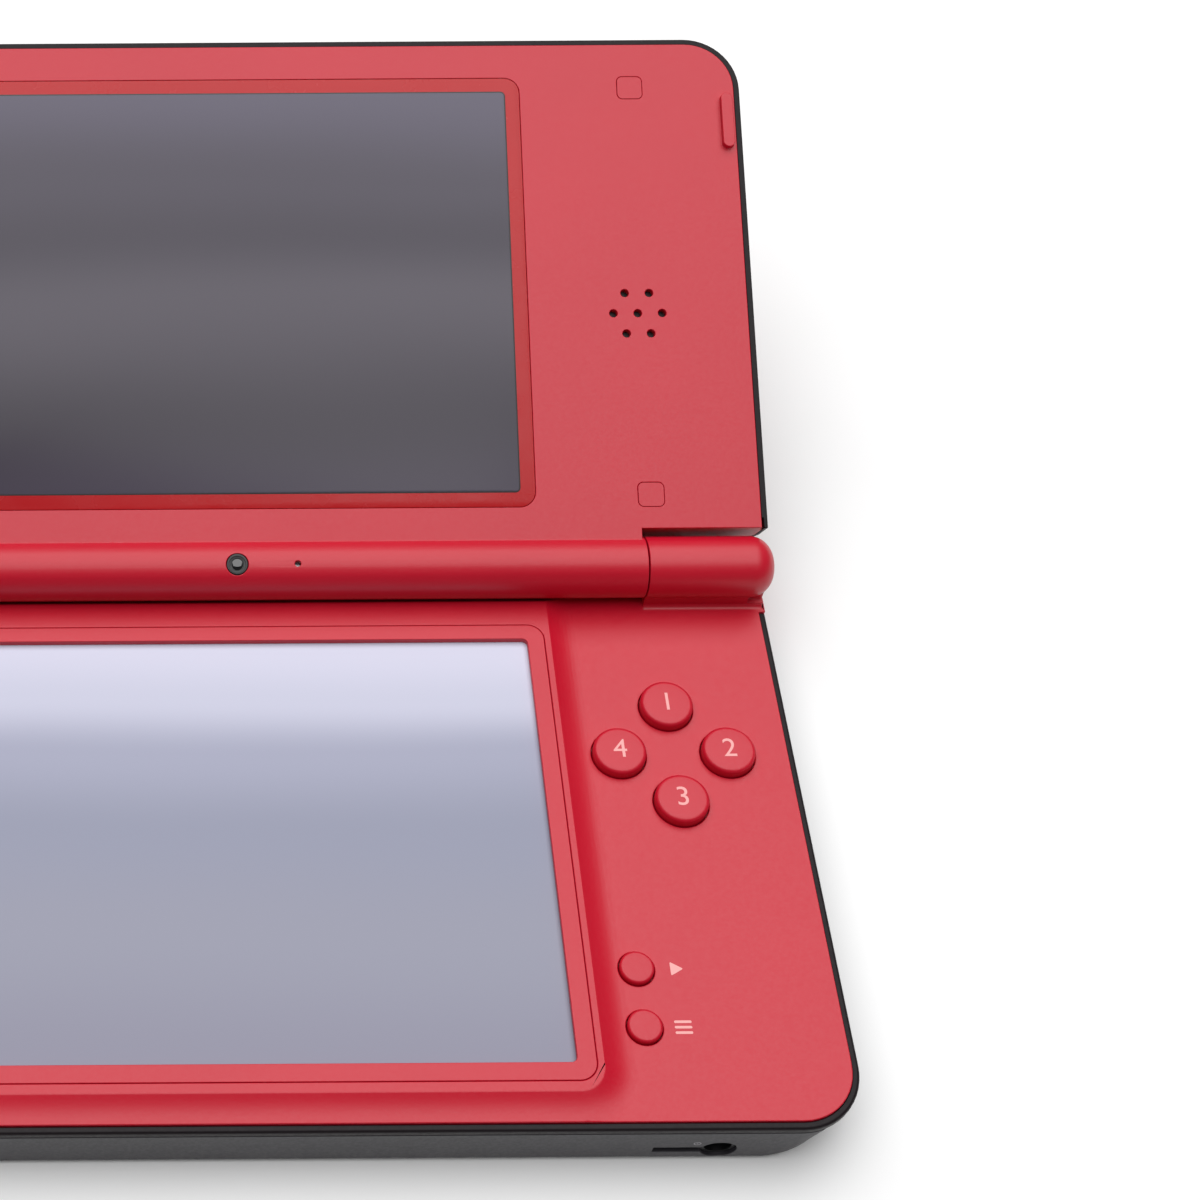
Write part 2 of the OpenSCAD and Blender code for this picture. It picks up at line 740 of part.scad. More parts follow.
module mainboard() {
    color(board_green) translate([0, 0, board_z - board_t]) linear_extrude(board_t)
        difference() {
            translate([-board_half_w, board_front])
                square([2 * board_half_w, board_back - board_front]);
            translate([battery_x - battery_w / 2 - 0.5, battery_y - battery_d / 2 - 0.5])
                square([battery_w + 1, battery_d + 1]);
            translate([card_x - card_w / 2 - 1.2, back_y - wall_t - card_l - 1])
                square([card_w + 2.4, card_l]);
            translate([jack_x - jack_body_r - 0.4, front_y])
                square([2 * jack_body_r + 0.8, jack_depth + 2]);
            for (p = case_screw_at) translate(p) circle(screw_r + slide_gap);
        }
}

// [corner, size] of each chip on the main board, from the board's front and the battery's side
chip_t = 0.9;
processor = [14, 14, 1];
memory = [10, 12, chip_t];
driver = [16, 10, chip_t];
chip_x = battery_x - battery_w / 2 - 21;
chips = [
    [[chip_x, board_front + 13.5], processor],
    [[chip_x, board_front + 30.5], memory],
    [[chip_x + 16, board_front + 44.5], driver]
];

module processor_chips() {
    color("#26262a") for (c = chips) translate([c[0][0], c[0][1], board_z]) cube(c[1]);
}

// a small board with a shield can, beside the charge port
wireless = [22, 6.5, 0.8];
wireless_can = [20, 5.5, 2.3];
wireless_x = port_x + port_w / 2 + 6;
wireless_y = back_y - wall_t - wireless[1] - 2;

module wireless_module() {
    color(steel) translate([wireless_x, wireless_y, floor_z]) {
        cube(wireless);
        translate([(wireless[0] - wireless_can[0]) / 2, 0.5, 0]) cube(wireless_can);
    }
}

module battery() {
    color("#5b5f66") translate([battery_x, battery_y, foot_h + cover_recess])
        plate(battery_w, battery_d, battery_t, 1);
}

module battery_cover() {
    color(black_shell) difference() {
        translate([battery_x, cover_y, foot_h])
            plate(cover_w - 2 * seam, cover_d - 2 * seam, cover_recess, 2 - seam);
        for (s = [-1, 1]) translate([battery_x + s * cover_screw_x, cover_screw_y, 0]) {
            cylinder(r = cover_head_r + slide_gap, h = foot_h + 0.1 + cover_head_h);
            cylinder(r = cover_screw_r + slide_gap, h = 10);
        }
    }
}

module battery_cover_screws() {
    color(steel) for (s = [-1, 1])
        translate([battery_x + s * cover_screw_x, cover_screw_y, foot_h + 0.1])
            pan_screw(cover_head_r, cover_head_h, cover_screw_r, cover_screw_l);
}

module case_screws() {
    color(steel) for (p = case_screw_at) translate([p[0], p[1], foot_h + screw_well])
        pan_screw(screw_head_r, screw_head_h, screw_r, screw_l);
}

module rubber_feet() {
    color(rubber_grey) for (p = foot_at) translate([p[0], p[1], 0])
        cylinder(r = foot_d / 2, h = foot_h + foot_sink);
}

// ---- base: controls on the face ----

dome_h = 1.3;
dome_r = 2;
sheet_t = 0.6;
flange_over = 0.8;
flange_t = 0.9;
plunger_z = board_z + dome_h + button_travel + 0.05;

module sheet_with_domes(w, d, points, h) {
    translate([-w / 2, -d / 2, 0]) cube([w, d, sheet_t]);
    for (p = points) translate([p[0], p[1], 0]) cylinder(r = dome_r, h = h);
}

module button_membranes() {
    mid = [controls_x, hinge_y - controls_y];
    row = (start_at + select_at) / 2;
    sheet_w = 2 * button_spread + 2 * dome_r + 1;
    lone_w = 2 * dome_r + 1;
    color("#cfcfcf") {
        translate([mid[0], mid[1], board_z])
            sheet_with_domes(sheet_w, sheet_w, [for (p = button_at) p - mid], dome_h);
        translate([row[0], row[1], board_z])
            sheet_with_domes(lone_w, select_y - start_y + lone_w,
                             [start_at - row, select_at - row], dome_h);
        translate([power_at[0], power_at[1], board_z])
            sheet_with_domes(lone_w, lone_w, [[0, 0]], dome_h);
    }
}

// a round push button with a rounded rim, a retaining flange and a plunger
module push_button(p, d, h, edge) {
    top = panel_z + h;
    color(matte_red) translate([p[0], p[1], 0]) rotate_extrude() {
        translate([0, panel_under - 0.1]) square([d / 2, top - edge - panel_under + 0.1]);
        translate([0, top - edge - eps]) square([d / 2 - edge, edge + eps]);
        translate([d / 2 - edge, top - edge]) circle(edge);
        translate([0, panel_under - 0.05 - flange_t])
            square([d / 2 + flange_over, flange_t]);
        translate([0, plunger_z]) square([dome_r, panel_under - 0.1 - plunger_z]);
    }
}

button_edge = 0.6;
small_edge = 0.4;

module button_right() { push_button(button_at[0], button_d, button_h, button_edge); }
module button_bottom() { push_button(button_at[1], button_d, button_h, button_edge); }
module button_top() { push_button(button_at[2], button_d, button_h, button_edge); }
module button_left() { push_button(button_at[3], button_d, button_h, button_edge); }
module start_button() { push_button(start_at, small_button_d, small_button_h, small_edge); }
module select_button() { push_button(select_at, small_button_d, small_button_h, small_edge); }
module power_button() { push_button(power_at, small_button_d, small_button_h, small_edge); }

// the direction pad tilts on a ball that sits in a socket under its middle
ball_r = 1.2;
ball_z = board_z + 1.6;
pad_flange_r = dpad_l / 2 - 0.9;
pad_flange_z = ball_z + 0.3;
pad_flange_t = 0.8;
pad_dome_h = 0.95;
pad_dome_at = 7;

// the card slot stands beside that pad's rubber sheet
card_gap = 0.2;
card_x = pad_dome_at + dome_r + card_gap + slot_wall + card_w / 2 - controls_x;

module at_dpad(z) {
    translate([-controls_x, hinge_y - controls_y, z]) children();
}

module dpad_membrane() {
    color("#cfcfcf") at_dpad(board_z) difference() {
        sheet_with_domes(2 * (pad_dome_at + dome_r), 2 * (pad_dome_at + dome_r),
            [[pad_dome_at, 0], [-pad_dome_at, 0], [0, pad_dome_at], [0, -pad_dome_at], [0, 0]],
            pad_dome_h);
        translate([0, 0, ball_z - board_z]) sphere(r = ball_r + running_gap);
    }
}

module dpad_pivot() {
    color("#cfcfcf") at_dpad(ball_z) sphere(r = ball_r);
}

module dpad() {
    color(matte_red) difference() {
        union() {
            at_dpad(pad_flange_z) cylinder(r = pad_flange_r, h = pad_flange_t);
            at_dpad(pad_flange_z) linear_extrude(panel_z + dpad_h - pad_flange_z)
                dpad_cross(0);
        }
        at_dpad(ball_z) sphere(r = ball_r + running_gap);
        // the dished middle
        at_dpad(panel_z + dpad_h + 11.7) sphere(r = 12, $fn = 96);
    }
}

module indicator_lenses() {
    color("#e8e2d0") for (p = lens_at) translate([p[0], p[1], panel_under])
        linear_extrude(panel_t) round_rect(2 * lens_r, lens_l, lens_r - eps);
}

// ---- base: ports ----

module headphone_jack() {
    body_h = jack_z - floor_z;
    color("#232226") difference() {
        union() {
            translate([jack_x, jack_y + jack_depth + 1, jack_z]) rotate([90, 0, 0])
                cylinder(r = jack_body_r, h = jack_depth + 1);
            translate([jack_x - jack_body_r, front_y + wall_t + socket_gap, floor_z])
                cube([2 * jack_body_r, jack_depth - 0.5, body_h]);
            translate([slit_x - slit_w / 2 - jack_block_wall, front_y + wall_t + socket_gap,
                       floor_z])
                cube([slit_w + 2 * jack_block_wall, slit_depth,
                      body_h + slit_h / 2 + jack_block_wall]);
        }
        translate([jack_x, jack_y + jack_depth, jack_z]) rotate([90, 0, 0])
            cylinder(r = jack_r, h = jack_depth + 1);
        translate([slit_x - slit_w / 2, front_y, jack_z - slit_h / 2])
            cube([slit_w, slit_depth, slit_h]);
    }
}

module card_slot() {
    w = card_w + 2 * slot_wall;
    color("#2c2b2f") translate([card_x - w / 2, back_y - wall_t - card_l, slot_z - slot_wall])
        difference() {
            cube([w, card_l - socket_gap, card_t + 2 * slot_wall]);
            translate([slot_wall, slot_wall, slot_wall]) cube([card_w, card_l, card_t]);
        }
}

module charge_port() {
    w = port_w + 2 * port_wall;
    color(steel) translate([port_x, back_y - wall_t - socket_gap, 0]) difference() {
        translate([-w / 2, -port_l, floor_z])
            cube([w, port_l, port_z - floor_z + port_h / 2 + port_wall]);
        difference() {
            translate([-port_w / 2, 0.5 - port_l, port_z - port_h / 2])
                cube([port_w, port_l, port_h]);
            translate([-port_w / 2 + 1.2, -port_l, port_z - 0.35])
                cube([port_w - 2.4, port_l - 1.5, 0.7]);
        }
    }
}

sd_wall = 0.2;
sd_l = 27;

module sd_slot() {
    w = sd_w + 2 * sd_wall;
    color(steel) translate([half_w - wall_t - 0.1 - sd_l, hinge_y - sd_y - w / 2, sd_z])
        difference() {
            cube([sd_l, w, sd_t + 2 * sd_wall]);
            translate([sd_wall, sd_wall, sd_wall]) cube([sd_l, sd_w, sd_t]);
        }
}

// the memory card's door turns on a barrel at its back end
module sd_door() {
    y0 = hinge_y - sd_y - door_l / 2;
    color(black_shell) intersection() {
        base_slab(0, foot_h, shell_top, base_edge_r);
        translate([0, 0, door_z]) union() {
            translate([half_w - door_t, y0, 0]) cube([door_t + 1, door_l - door_t / 2, door_h]);
            translate([half_w - door_t / 2, y0 + door_l - door_t / 2, 0])
                cylinder(r = door_t / 2, h = door_h);
        }
    }
}

module stylus() {
    r = stylus_d / 2;
    tip = 3;
    cap = 9;
    color(black_shell)
        translate([half_w - stylus_inset - stylus_l, hinge_y - stylus_y, stylus_z])
            rotate([0, 90, 0]) rotate_extrude() difference() {
                union() {
                    square([r, stylus_l - 0.6]);
                    square([r - 0.6, stylus_l]);
                    translate([r - 0.6, stylus_l - 0.6]) circle(0.6);
                }
                // the taper of the tip and the groove where the cap begins
                translate([r + tip - 1.2, 0]) circle(tip);
                translate([r, stylus_l - cap]) circle(0.2);
            }
}

module stylus_tube() {
    x0 = half_w - stylus_inset - stylus_l - 1;
    color("#d8d8d4") translate([0, hinge_y - stylus_y, stylus_z]) difference() {
        rod(x0, half_w - wall_t - tube_gap, stylus_d / 2 + slide_gap + tube_wall);
        rod(x0 + 0.5, half_w, stylus_d / 2 + slide_gap);
    }
}

volume_pin_r = 0.5;
volume_boss_r = 1.2;
volume_boss_x = -half_w + 2.2;
volume_proud = 0.35;
volume_bar_t = 1.3;

module volume_rocker() {
    color(black_shell) translate([0, hinge_y - volume_y, volume_z - volume_h / 2]) difference() {
        linear_extrude(volume_h) {
            translate([-half_w - volume_proud + 0.4, -volume_l / 2])
                square([volume_bar_t + volume_proud - 0.4, volume_l]);
            translate([-half_w - volume_proud, 0.4 - volume_l / 2])
                square([1, volume_l - 0.8]);
            for (s = [-1, 1])
                translate([-half_w - volume_proud + 0.4, s * (volume_l / 2 - 0.4)]) circle(0.4);
            translate([volume_boss_x, 0]) circle(volume_boss_r);
            translate([volume_boss_x - 1.5, -volume_boss_r]) square([1.5, 2 * volume_boss_r]);
        }
        translate([volume_boss_x, 0, -1]) cylinder(r = volume_pin_r + running_gap, h = 10);
    }
}

module volume_switch() {
    gap = 0.1;
    arm_t = 0.5;
    z0 = volume_z - volume_h / 2 - gap - arm_t;
    h = volume_h + 2 * gap + 2 * arm_t;
    wall_x = volume_boss_x + volume_boss_r + 0.2;
    color("#2c2b2f") translate([0, hinge_y - volume_y, 0]) {
        translate([wall_x, -5, floor_z]) cube([1.8, 10, z0 + h - floor_z]);
        for (z = [z0, z0 + h - arm_t])
            translate([volume_boss_x - 0.7, -1, z]) cube([wall_x - volume_boss_x + 1, 2, arm_t]);
        translate([volume_boss_x, 0, z0]) cylinder(r = volume_pin_r, h = h);
    }
}

// ---- base: shoulder buttons ----

spring_l = 3.2;
spring_r = 1.4;
spring_z = shoulder_z + (shoulder_h - spring_l) / 2;

module shoulder_button() {
    difference() {
        union() {
            translate([0, 0, shoulder_z]) linear_extrude(shoulder_h) intersection() {
                base_plan(0);
                union() {
                    translate([half_w - shoulder_w, back_y - shoulder_t])
                        square([shoulder_w, shoulder_t]);
                    translate([half_w - shoulder_t, back_y - shoulder_side])
                        square([shoulder_t, shoulder_side]);
                }
            }
            translate([shoulder_pin_x, shoulder_pin_y, shoulder_z])
                cylinder(r = shoulder_boss_r, h = shoulder_h);
        }
        translate([shoulder_pin_x, shoulder_pin_y, shoulder_z - 1]) {
            cylinder(r = shoulder_pin_r + running_gap, h = shoulder_h + 2);
            translate([0, 0, spring_z - shoulder_z + 1 - 0.1])
                cylinder(r = spring_r + 0.1, h = spring_l + 0.2);
        }
    }
}

module shoulder_right() { color(matte_red) shoulder_button(); }
module shoulder_left() { color(matte_red) mirror([1, 0, 0]) shoulder_button(); }

module shoulder_pins() {
    color(steel) for (m = [0, 1]) mirror([m, 0, 0])
        translate([shoulder_pin_x, shoulder_pin_y, shoulder_z - 1.25])
            cylinder(r = shoulder_pin_r, h = shell_top + 1.9 - shoulder_z);
}

module shoulder_springs() {
    color(steel) for (m = [0, 1]) mirror([m, 0, 0])
        translate([shoulder_pin_x, shoulder_pin_y, spring_z]) difference() {
            cylinder(r = spring_r, h = spring_l);
            translate([0, 0, -1]) cylinder(r = shoulder_pin_r + seat_gap, h = 10);
        }
}

module shoulder_switches() {
    color("#2c2b2f") for (m = [0, 1]) mirror([m, 0, 0])
        translate([half_w - 9, back_y - shoulder_t - shoulder_room, shoulder_z + 1.5])
            cube([4, 0.4, 3]);
}

// ---- hinge ----

spring_room = 4.2;
chamber_gap = 0.2;
housing_end_wall = 1.1;
chamber_x = [shaft_x[0] - chamber_gap - spring_room, shaft_x[0] - chamber_gap];
housing_x0 = chamber_x[0] - housing_end_wall;

module hinge_pin() {
    color(steel) at_hinge() rod(pin_x[0], pin_x[1], pin_r);
}

module hinge_shaft() {
    color(steel) at_hinge() rod(shaft_x[0], shaft_x[1], shaft_r);
}

module hinge_housing() {
    color("#8e9094") in_lid() difference() {
        rod(housing_x0, seam_x - seam_gap, housing_r);
        rod(chamber_x[0], chamber_x[1], housing_r - 0.6);
        rod(chamber_x[1] - 1, seam_x, shaft_r + running_gap);
    }
}

module hinge_spring() {
    color(steel) in_lid() difference() {
        rod(chamber_x[0], chamber_x[1] - 0.2, housing_r - 0.6 - seat_gap);
        rod(chamber_x[0] - 1, chamber_x[1] + 1, housing_r - 1.2);
    }
}

// ---- lid, in its own frame ----

rim_top = face_off - rim_drop;
face_under = face_off - lid_face_t;
lid_floor = outer_off + lid_wall_t;
end_skin = 0.65;
end_wall_t = 1.5;
lens_r_plan = 2.4;
lens_ledge = 0.9;
lens_under = face_off - lens_t;
lcd_under = lens_under - 0.05 - lcd_t;
lid_screw_side = 17.35;
lid_screw_near = 5.2;
lid_screw_far = 8.3;
lid_screw_at = [for (x = [lid_screw_side - half_w, half_w - lid_screw_side],
                     y = [notch_y + lid_screw_near, reach - lid_screw_far]) [x, y]];
pad_w = 3.85;
pad_d = 3.65;
pad_t = 0.65;
pad_r = 0.8;
lid_screw_r = 0.8;
lid_head_r = 1.5;
lid_head_h = 0.5;
lid_screw_l = 4.6;
lid_boss_r = 2.2;
ridge_w = 1.8;
ridge_x = half_w - 2.4;
ridge_y = reach - 14.1;
inner_camera_r = 1.6;
outer_camera_r = 3.2;
outer_camera_side = 13.7;
outer_camera_far = 16.5;
outer_camera_at = [outer_camera_side - half_w, reach - outer_camera_far];
inner_camera_z = 0.4;
mic_x = 9;
mic_r = 1.4;
mic_hole_r = 0.45;
neck_end = 3;
neck_in = 0.4;

// the lid's plan drawn in by inset, from y0 to its far edge
module lid_plan(inset, y0) {
    w = half_w - inset;
    r = corner_r - inset;
    translate([-w, y0]) square([2 * w, reach - corner_r - y0]);
    translate([r - w, y0]) square([2 * (w - r), reach - inset - y0]);
    for (s = [-1, 1]) translate([s * (w - r), reach - corner_r]) circle(r);
}

// a slab of that plan with its outside edge rounded
module lid_slab(inset, z0, z1, edge) {
    translate([0, 0, z0])
        half_slab(half_w - inset, reach - inset, z1 - z0, corner_r - inset, edge);
}

module speaker_pattern() {
    for (i = [-1, 0, 1], j = [0:2 - abs(i)])
        translate([(j - 1 + abs(i) / 2) * speaker_pitch, i * speaker_pitch * sqrt(3) / 2, 0])
            children();
}

module lid_outer_shell() {
    color(black_shell) in_lid() difference() {
        union() {
            difference() {
                lid_slab(0, outer_off, rim_top, edge_r);
                lid_slab(lid_wall_t, lid_floor, rim_top + 1, edge_r - lid_wall_t);
            }
            for (p = lid_screw_at) translate([p[0], p[1], lid_floor - eps])
                cylinder(r = lid_boss_r, h = face_under - lid_floor + eps);
        }
        translate([-body_w, -1, outer_off - 1]) cube([2 * body_w, notch_y + 1, 20]);
        // the seat of the red face and of its end walls
        translate([0, 0, face_under]) linear_extrude(10) lid_plan(rim_w - rim_seam, 0);
        intersection() {
            lid_slab(end_skin - 0.05, outer_off + end_skin - 0.05, rim_top + 1,
                     edge_r - end_skin + 0.05);
            translate([-body_w, 0, outer_off]) cube([2 * body_w, notch_y + end_wall_t + 0.05, 20]);
        }
        for (p = lid_screw_at) translate([p[0], p[1], face_under - lid_screw_l])
            cylinder(r = lid_screw_r + seat_gap, h = 20);
        // the seat of the glossy plate, and the hole of the outer camera
        translate([0, 0, outer_off - 1]) linear_extrude(1 + cover_t)
            lid_plan(cover_border, notch_y + 2);
        translate([outer_camera_at[0], outer_camera_at[1], outer_off - 1])
            cylinder(r = outer_camera_r + seam, h = 5);
    }
}

module lid_inner_shell() {
    bx = seam_x - seam_gap / 2;
    nx = bx - neck_in;
    bore = housing_r + seat_gap;
    color(matte_red) in_lid() difference() {
        union() {
            translate([0, 0, face_under]) linear_extrude(lid_face_t) lid_plan(rim_w, notch_y);
            intersection() {
                lid_slab(end_skin, outer_off + end_skin, face_under + eps, edge_r - end_skin);
                translate([-body_w, notch_y, outer_off]) cube([2 * body_w, end_wall_t, 20]);
            }
            translate([-nx, 0, -barrel_r]) cube([2 * nx, notch_y + eps, barrel_r + face_off]);
            rod(-bx, bx, barrel_r);
            for (s = [-1, 1]) translate([s * ridge_x, ridge_y, face_off - eps])
                plate(ridge_w, ridge_l, ridge_h + eps, ridge_w / 2 - eps);
        }
        // the hollow of the barrel and of the neck behind it
        rod(pin_x[1] - 1, seam_x + 1, bore);
        rod(-seam_x - 1, pin_x[1], pin_r + running_gap);
        translate([pin_x[1] + neck_end, 0, -bore])
            cube([housing_x0 - pin_x[1] - 2 * neck_end, notch_y + 4, bore + face_under]);
        // window recess, its ledge and the display's opening
        translate([0, upper_screen_y, lens_under])
            plate(lens_w + 2 * seam, lens_d + 2 * seam, 5, lens_r_plan + seam);
        translate([0, upper_screen_y, face_under - 1])
            plate(lens_w - 2 * lens_ledge, lens_d - 2 * lens_ledge, 5, lens_r_plan - 0.9);
        for (s = [-1, 1]) translate([s * speaker_x, speaker_y, 0]) speaker_pattern()
            cylinder(r = speaker_hole_d / 2, h = 10);
        for (p = lid_screw_at) translate([p[0], p[1], 0]) {
            translate([0, 0, face_off - pad_t])
                plate(pad_w + 2 * seam, pad_d + 2 * seam, 2, pad_r + seam);
            translate([0, 0, face_off - pad_t - lid_head_h])
                cylinder(r = lid_head_r + slide_gap, h = 2);
            cylinder(r = lid_screw_r + slide_gap, h = 5);
        }
        cylinder(r = inner_camera_r + seam, h = barrel_r + 1);
        translate([mic_x, 0, 0]) cylinder(r = mic_hole_r, h = barrel_r + 1);
    }
}

module lid_cover_plate() {
    color(gloss_red) in_lid() translate([0, 0, outer_off]) difference() {
        linear_extrude(cover_t) lid_plan(cover_border + seam, notch_y + 2 + seam);
        translate([outer_camera_at[0], outer_camera_at[1], -1])
            cylinder(r = outer_camera_r + seam, h = 5);
    }
}

module lens_window() {
    color("#8f3034") in_lid() translate([0, upper_screen_y, lens_under])
        plate(lens_w, lens_d, lens_t, lens_r_plan);
}

module upper_lcd() {
    w = lens_w - 2 * lens_ledge - 0.6;
    d = lens_d - 2 * lens_ledge - 0.6;
    color("#5a5960") in_lid() translate([0, upper_screen_y, lcd_under]) plate(w, d, lcd_t, 1);
}

// the lid's board lies under the display and ends inside it
lid_board_t = 0.8;
lid_board_side = 5.95;
lid_board_end = 7.55;

module lid_board() {
    color(board_green) in_lid() translate([0, upper_screen_y, lcd_under - lid_board_t])
        plate(lens_w - 2 * lid_board_side, lens_d - 2 * lid_board_end, lid_board_t, 1);
}

module speakers() {
    color("#3a3a3d") in_lid() for (s = [-1, 1])
        translate([s * speaker_x, speaker_y, face_under - 3.3]) {
            cylinder(r = speaker_d / 2, h = 2.6);
            cylinder(r = speaker_d / 2 - 1, h = 3.3);
        }
}

module screw_covers() {
    color(matte_red) in_lid() for (p = lid_screw_at)
        translate([p[0], p[1], face_off - pad_t]) plate(pad_w, pad_d, pad_t, pad_r);
}

module lid_screws() {
    color(steel) in_lid() for (p = lid_screw_at)
        translate([p[0], p[1], face_off - pad_t]) mirror([0, 0, 1])
            pan_screw(lid_head_r, lid_head_h, lid_screw_r, lid_screw_l);
}

module inner_camera() {
    // its face ends where the barrel's surface meets the edge of its hole
    top = sqrt(barrel_r * barrel_r - inner_camera_r * inner_camera_r);
    color("#1c1c20") in_lid() translate([0, 0, inner_camera_z])
        cylinder(r = inner_camera_r, h = top - inner_camera_z);
}

module outer_camera() {
    color("#1c1c20") in_lid() translate([outer_camera_at[0], outer_camera_at[1], outer_off])
        cylinder(r = outer_camera_r, h = 4.4);
}

module microphone() {
    color(steel) in_lid() translate([mic_x, 0, -0.6]) cylinder(r = mic_r, h = 2.9);
}

cable_x = [-44, -30];

module flex_cable() {
    r = housing_r - 0.4;
    w = cable_x[1] - cable_x[0];
    z = lcd_under - lid_board_t;
    color("#b5762e") in_lid() {
        difference() {
            rod(cable_x[0], cable_x[1], r);
            rod(cable_x[0] - 1, cable_x[1] + 1, r - 0.2);
        }
        translate([cable_x[0], 1.9, z - 0.2]) cube([w, 18, 0.2]);
    }
}

lower_shell();
rim_band();
faceplate();
screen_frame();
touch_panel();
lower_lcd();
lcd_tray();
mainboard();
processor_chips();
wireless_module();
battery();
battery_cover();
battery_cover_screws();
case_screws();
rubber_feet();
button_membranes();
dpad_membrane();
dpad_pivot();
dpad();
button_right();
button_bottom();
button_top();
button_left();
start_button();
select_button();
power_button();
indicator_lenses();
headphone_jack();
card_slot();
charge_port();
sd_slot();
sd_door();
stylus();
stylus_tube();
volume_rocker();
volume_switch();
shoulder_left();
shoulder_right();
shoulder_pins();
shoulder_springs();
shoulder_switches();
hinge_pin();
hinge_shaft();
hinge_housing();
hinge_spring();
lid_inner_shell();
lid_outer_shell();
lid_cover_plate();
lens_window();
upper_lcd();
lid_board();
speakers();
screw_covers();
lid_screws();
inner_camera();
outer_camera();
microphone();
flex_cable();
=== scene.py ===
# %% [markdown]
# # A folding handheld console, dressed from its CAD frame
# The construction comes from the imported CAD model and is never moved. This lesson adds what
# the eye looks for: softened edges, moulded and printed details, and a material for every
# surface. Lengths are in metres, with helpers that read millimetres.

import json
import math

import bmesh
import bpy
from mathutils import Matrix, Vector


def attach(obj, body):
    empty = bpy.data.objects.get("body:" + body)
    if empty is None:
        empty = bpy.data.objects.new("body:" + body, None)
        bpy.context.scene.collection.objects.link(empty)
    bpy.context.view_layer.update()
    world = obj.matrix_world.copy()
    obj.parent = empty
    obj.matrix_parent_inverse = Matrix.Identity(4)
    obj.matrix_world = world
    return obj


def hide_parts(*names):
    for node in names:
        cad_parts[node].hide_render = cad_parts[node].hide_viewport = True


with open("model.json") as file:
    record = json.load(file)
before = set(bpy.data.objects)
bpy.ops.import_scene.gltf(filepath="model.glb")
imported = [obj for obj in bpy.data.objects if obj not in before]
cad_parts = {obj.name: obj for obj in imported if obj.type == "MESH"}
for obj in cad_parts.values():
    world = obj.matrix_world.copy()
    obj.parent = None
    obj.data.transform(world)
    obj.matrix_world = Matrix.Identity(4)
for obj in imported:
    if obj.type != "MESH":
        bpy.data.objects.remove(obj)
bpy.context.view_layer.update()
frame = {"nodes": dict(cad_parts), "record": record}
nodes = frame["nodes"]
MM = 0.001
slot_of = {s["node"]: s["material_slot"] for s in frame["record"]["subparts"]}
body_of = {n: b for b, group in frame["record"]["behaviour"]["bodies"].items() for n in group}

# %% Places that the pieces share, in millimetres
HINGE_Y, HINGE_Z, LID_TURN = 38.8, 15.6, 25.0
PANEL_Z = 11.0
FLANGE_TOP = 9.55
FACE_BUTTONS = {"button_top": (62.2, 16.8), "button_right": (70.0, 9.0),
                "button_bottom": (62.2, 1.2), "button_left": (54.4, 9.0)}
SMALL_BUTTONS = {"start_button": (52.55, -23.9), "select_button": (52.55, -32.1),
                 "power_button": (-52.55, -32.1)}
LID = (Matrix.Translation((0, HINGE_Y * MM, HINGE_Z * MM))
       @ Matrix.Rotation(math.radians(LID_TURN), 4, "X"))

# %% [markdown]
# ## Camera
# The photo looks down at about 37 degrees from in front. The object stands to the right of
# the lens's axis, so the camera looks straight ahead and its frame is shifted, which keeps
# the sides' perspective as it is in the photo.

# %% Camera
CAMERA_AT = (-3.565 * MM, -137.09 * MM, 260.54 * MM)
CAMERA_TILT, CAMERA_YAW, CAMERA_ROLL = 37.26, -0.01, -0.36

camera_data = bpy.data.cameras.new("camera")
camera = bpy.data.objects.new("camera", camera_data)
bpy.context.scene.collection.objects.link(camera)
bpy.context.scene.camera = camera
camera_data.sensor_width = 36
camera_data.lens = 60.05
camera_data.shift_x = 0.3222
camera_data.shift_y = -0.0711
camera_data.clip_start, camera_data.clip_end = 0.01, 20
camera.matrix_world = (
    Matrix.Translation(CAMERA_AT)
    @ Matrix.Rotation(math.radians(CAMERA_TILT), 4, "X")
    @ Matrix.Rotation(math.radians(CAMERA_YAW), 4, "Y")
    @ Matrix.Rotation(math.radians(CAMERA_ROLL), 4, "Z")
)
print("camera at", CAMERA_AT)

# %% [markdown]
# ## Colour and node helpers
# Colours are noted as sRGB hex values, as a paint program shows them. Shaders work with
# linear light, so one function converts them. One more adds a shader node, with its
# settings and its links in one line, and one spreads a noise's tones over a wanted span.

# %% Helpers for materials
def linear(code):
    """A hex colour as linear RGBA."""
    parts = [int(code[i:i + 2], 16) / 255 for i in (1, 3, 5)]
    return [p / 12.92 if p <= 0.04045 else ((p + 0.055) / 1.055) ** 2.4 for p in parts] + [1]


def add(tree, kind, inputs=None, **settings):
    """Adds a node. An input's value may be a number, a colour or another node's socket."""
    node = tree.nodes.new("ShaderNode" + kind)
    for name, value in settings.items():
        setattr(node, name, value)
    for name, value in (inputs or {}).items():
        if isinstance(value, bpy.types.NodeSocket):
            tree.links.new(value, node.inputs[name])
        else:
            node.inputs[name].default_value = value
    return node


def per_mm(size):
    """The texture scale that gives a pattern of that size in millimetres."""
    return 1 / (size * MM)


def spread(tree, noise, low, high):
    """A noise's tones, which mostly lie between 0.3 and 0.7, spread from low to high."""
    span = {"From Min": 0.3, "From Max": 0.7, "To Min": low, "To Max": high}
    return add(tree, "MapRange", {"Value": noise.outputs["Fac"], **span}).outputs["Result"]


def new_material(name, **sockets):
    """An empty node material: its tree, its shader and the Object coordinates."""
    material = bpy.data.materials.new(name)
    material.use_nodes = True
    tree = material.node_tree
    tree.nodes.clear()
    shader = add(tree, "BsdfPrincipled")
    add(tree, "OutputMaterial", {"Surface": shader.outputs["BSDF"]})
    for socket, value in sockets.items():
        shader.inputs[socket.replace("_", " ")].default_value = value
    return material, tree, shader, add(tree, "TexCoord").outputs["Object"]


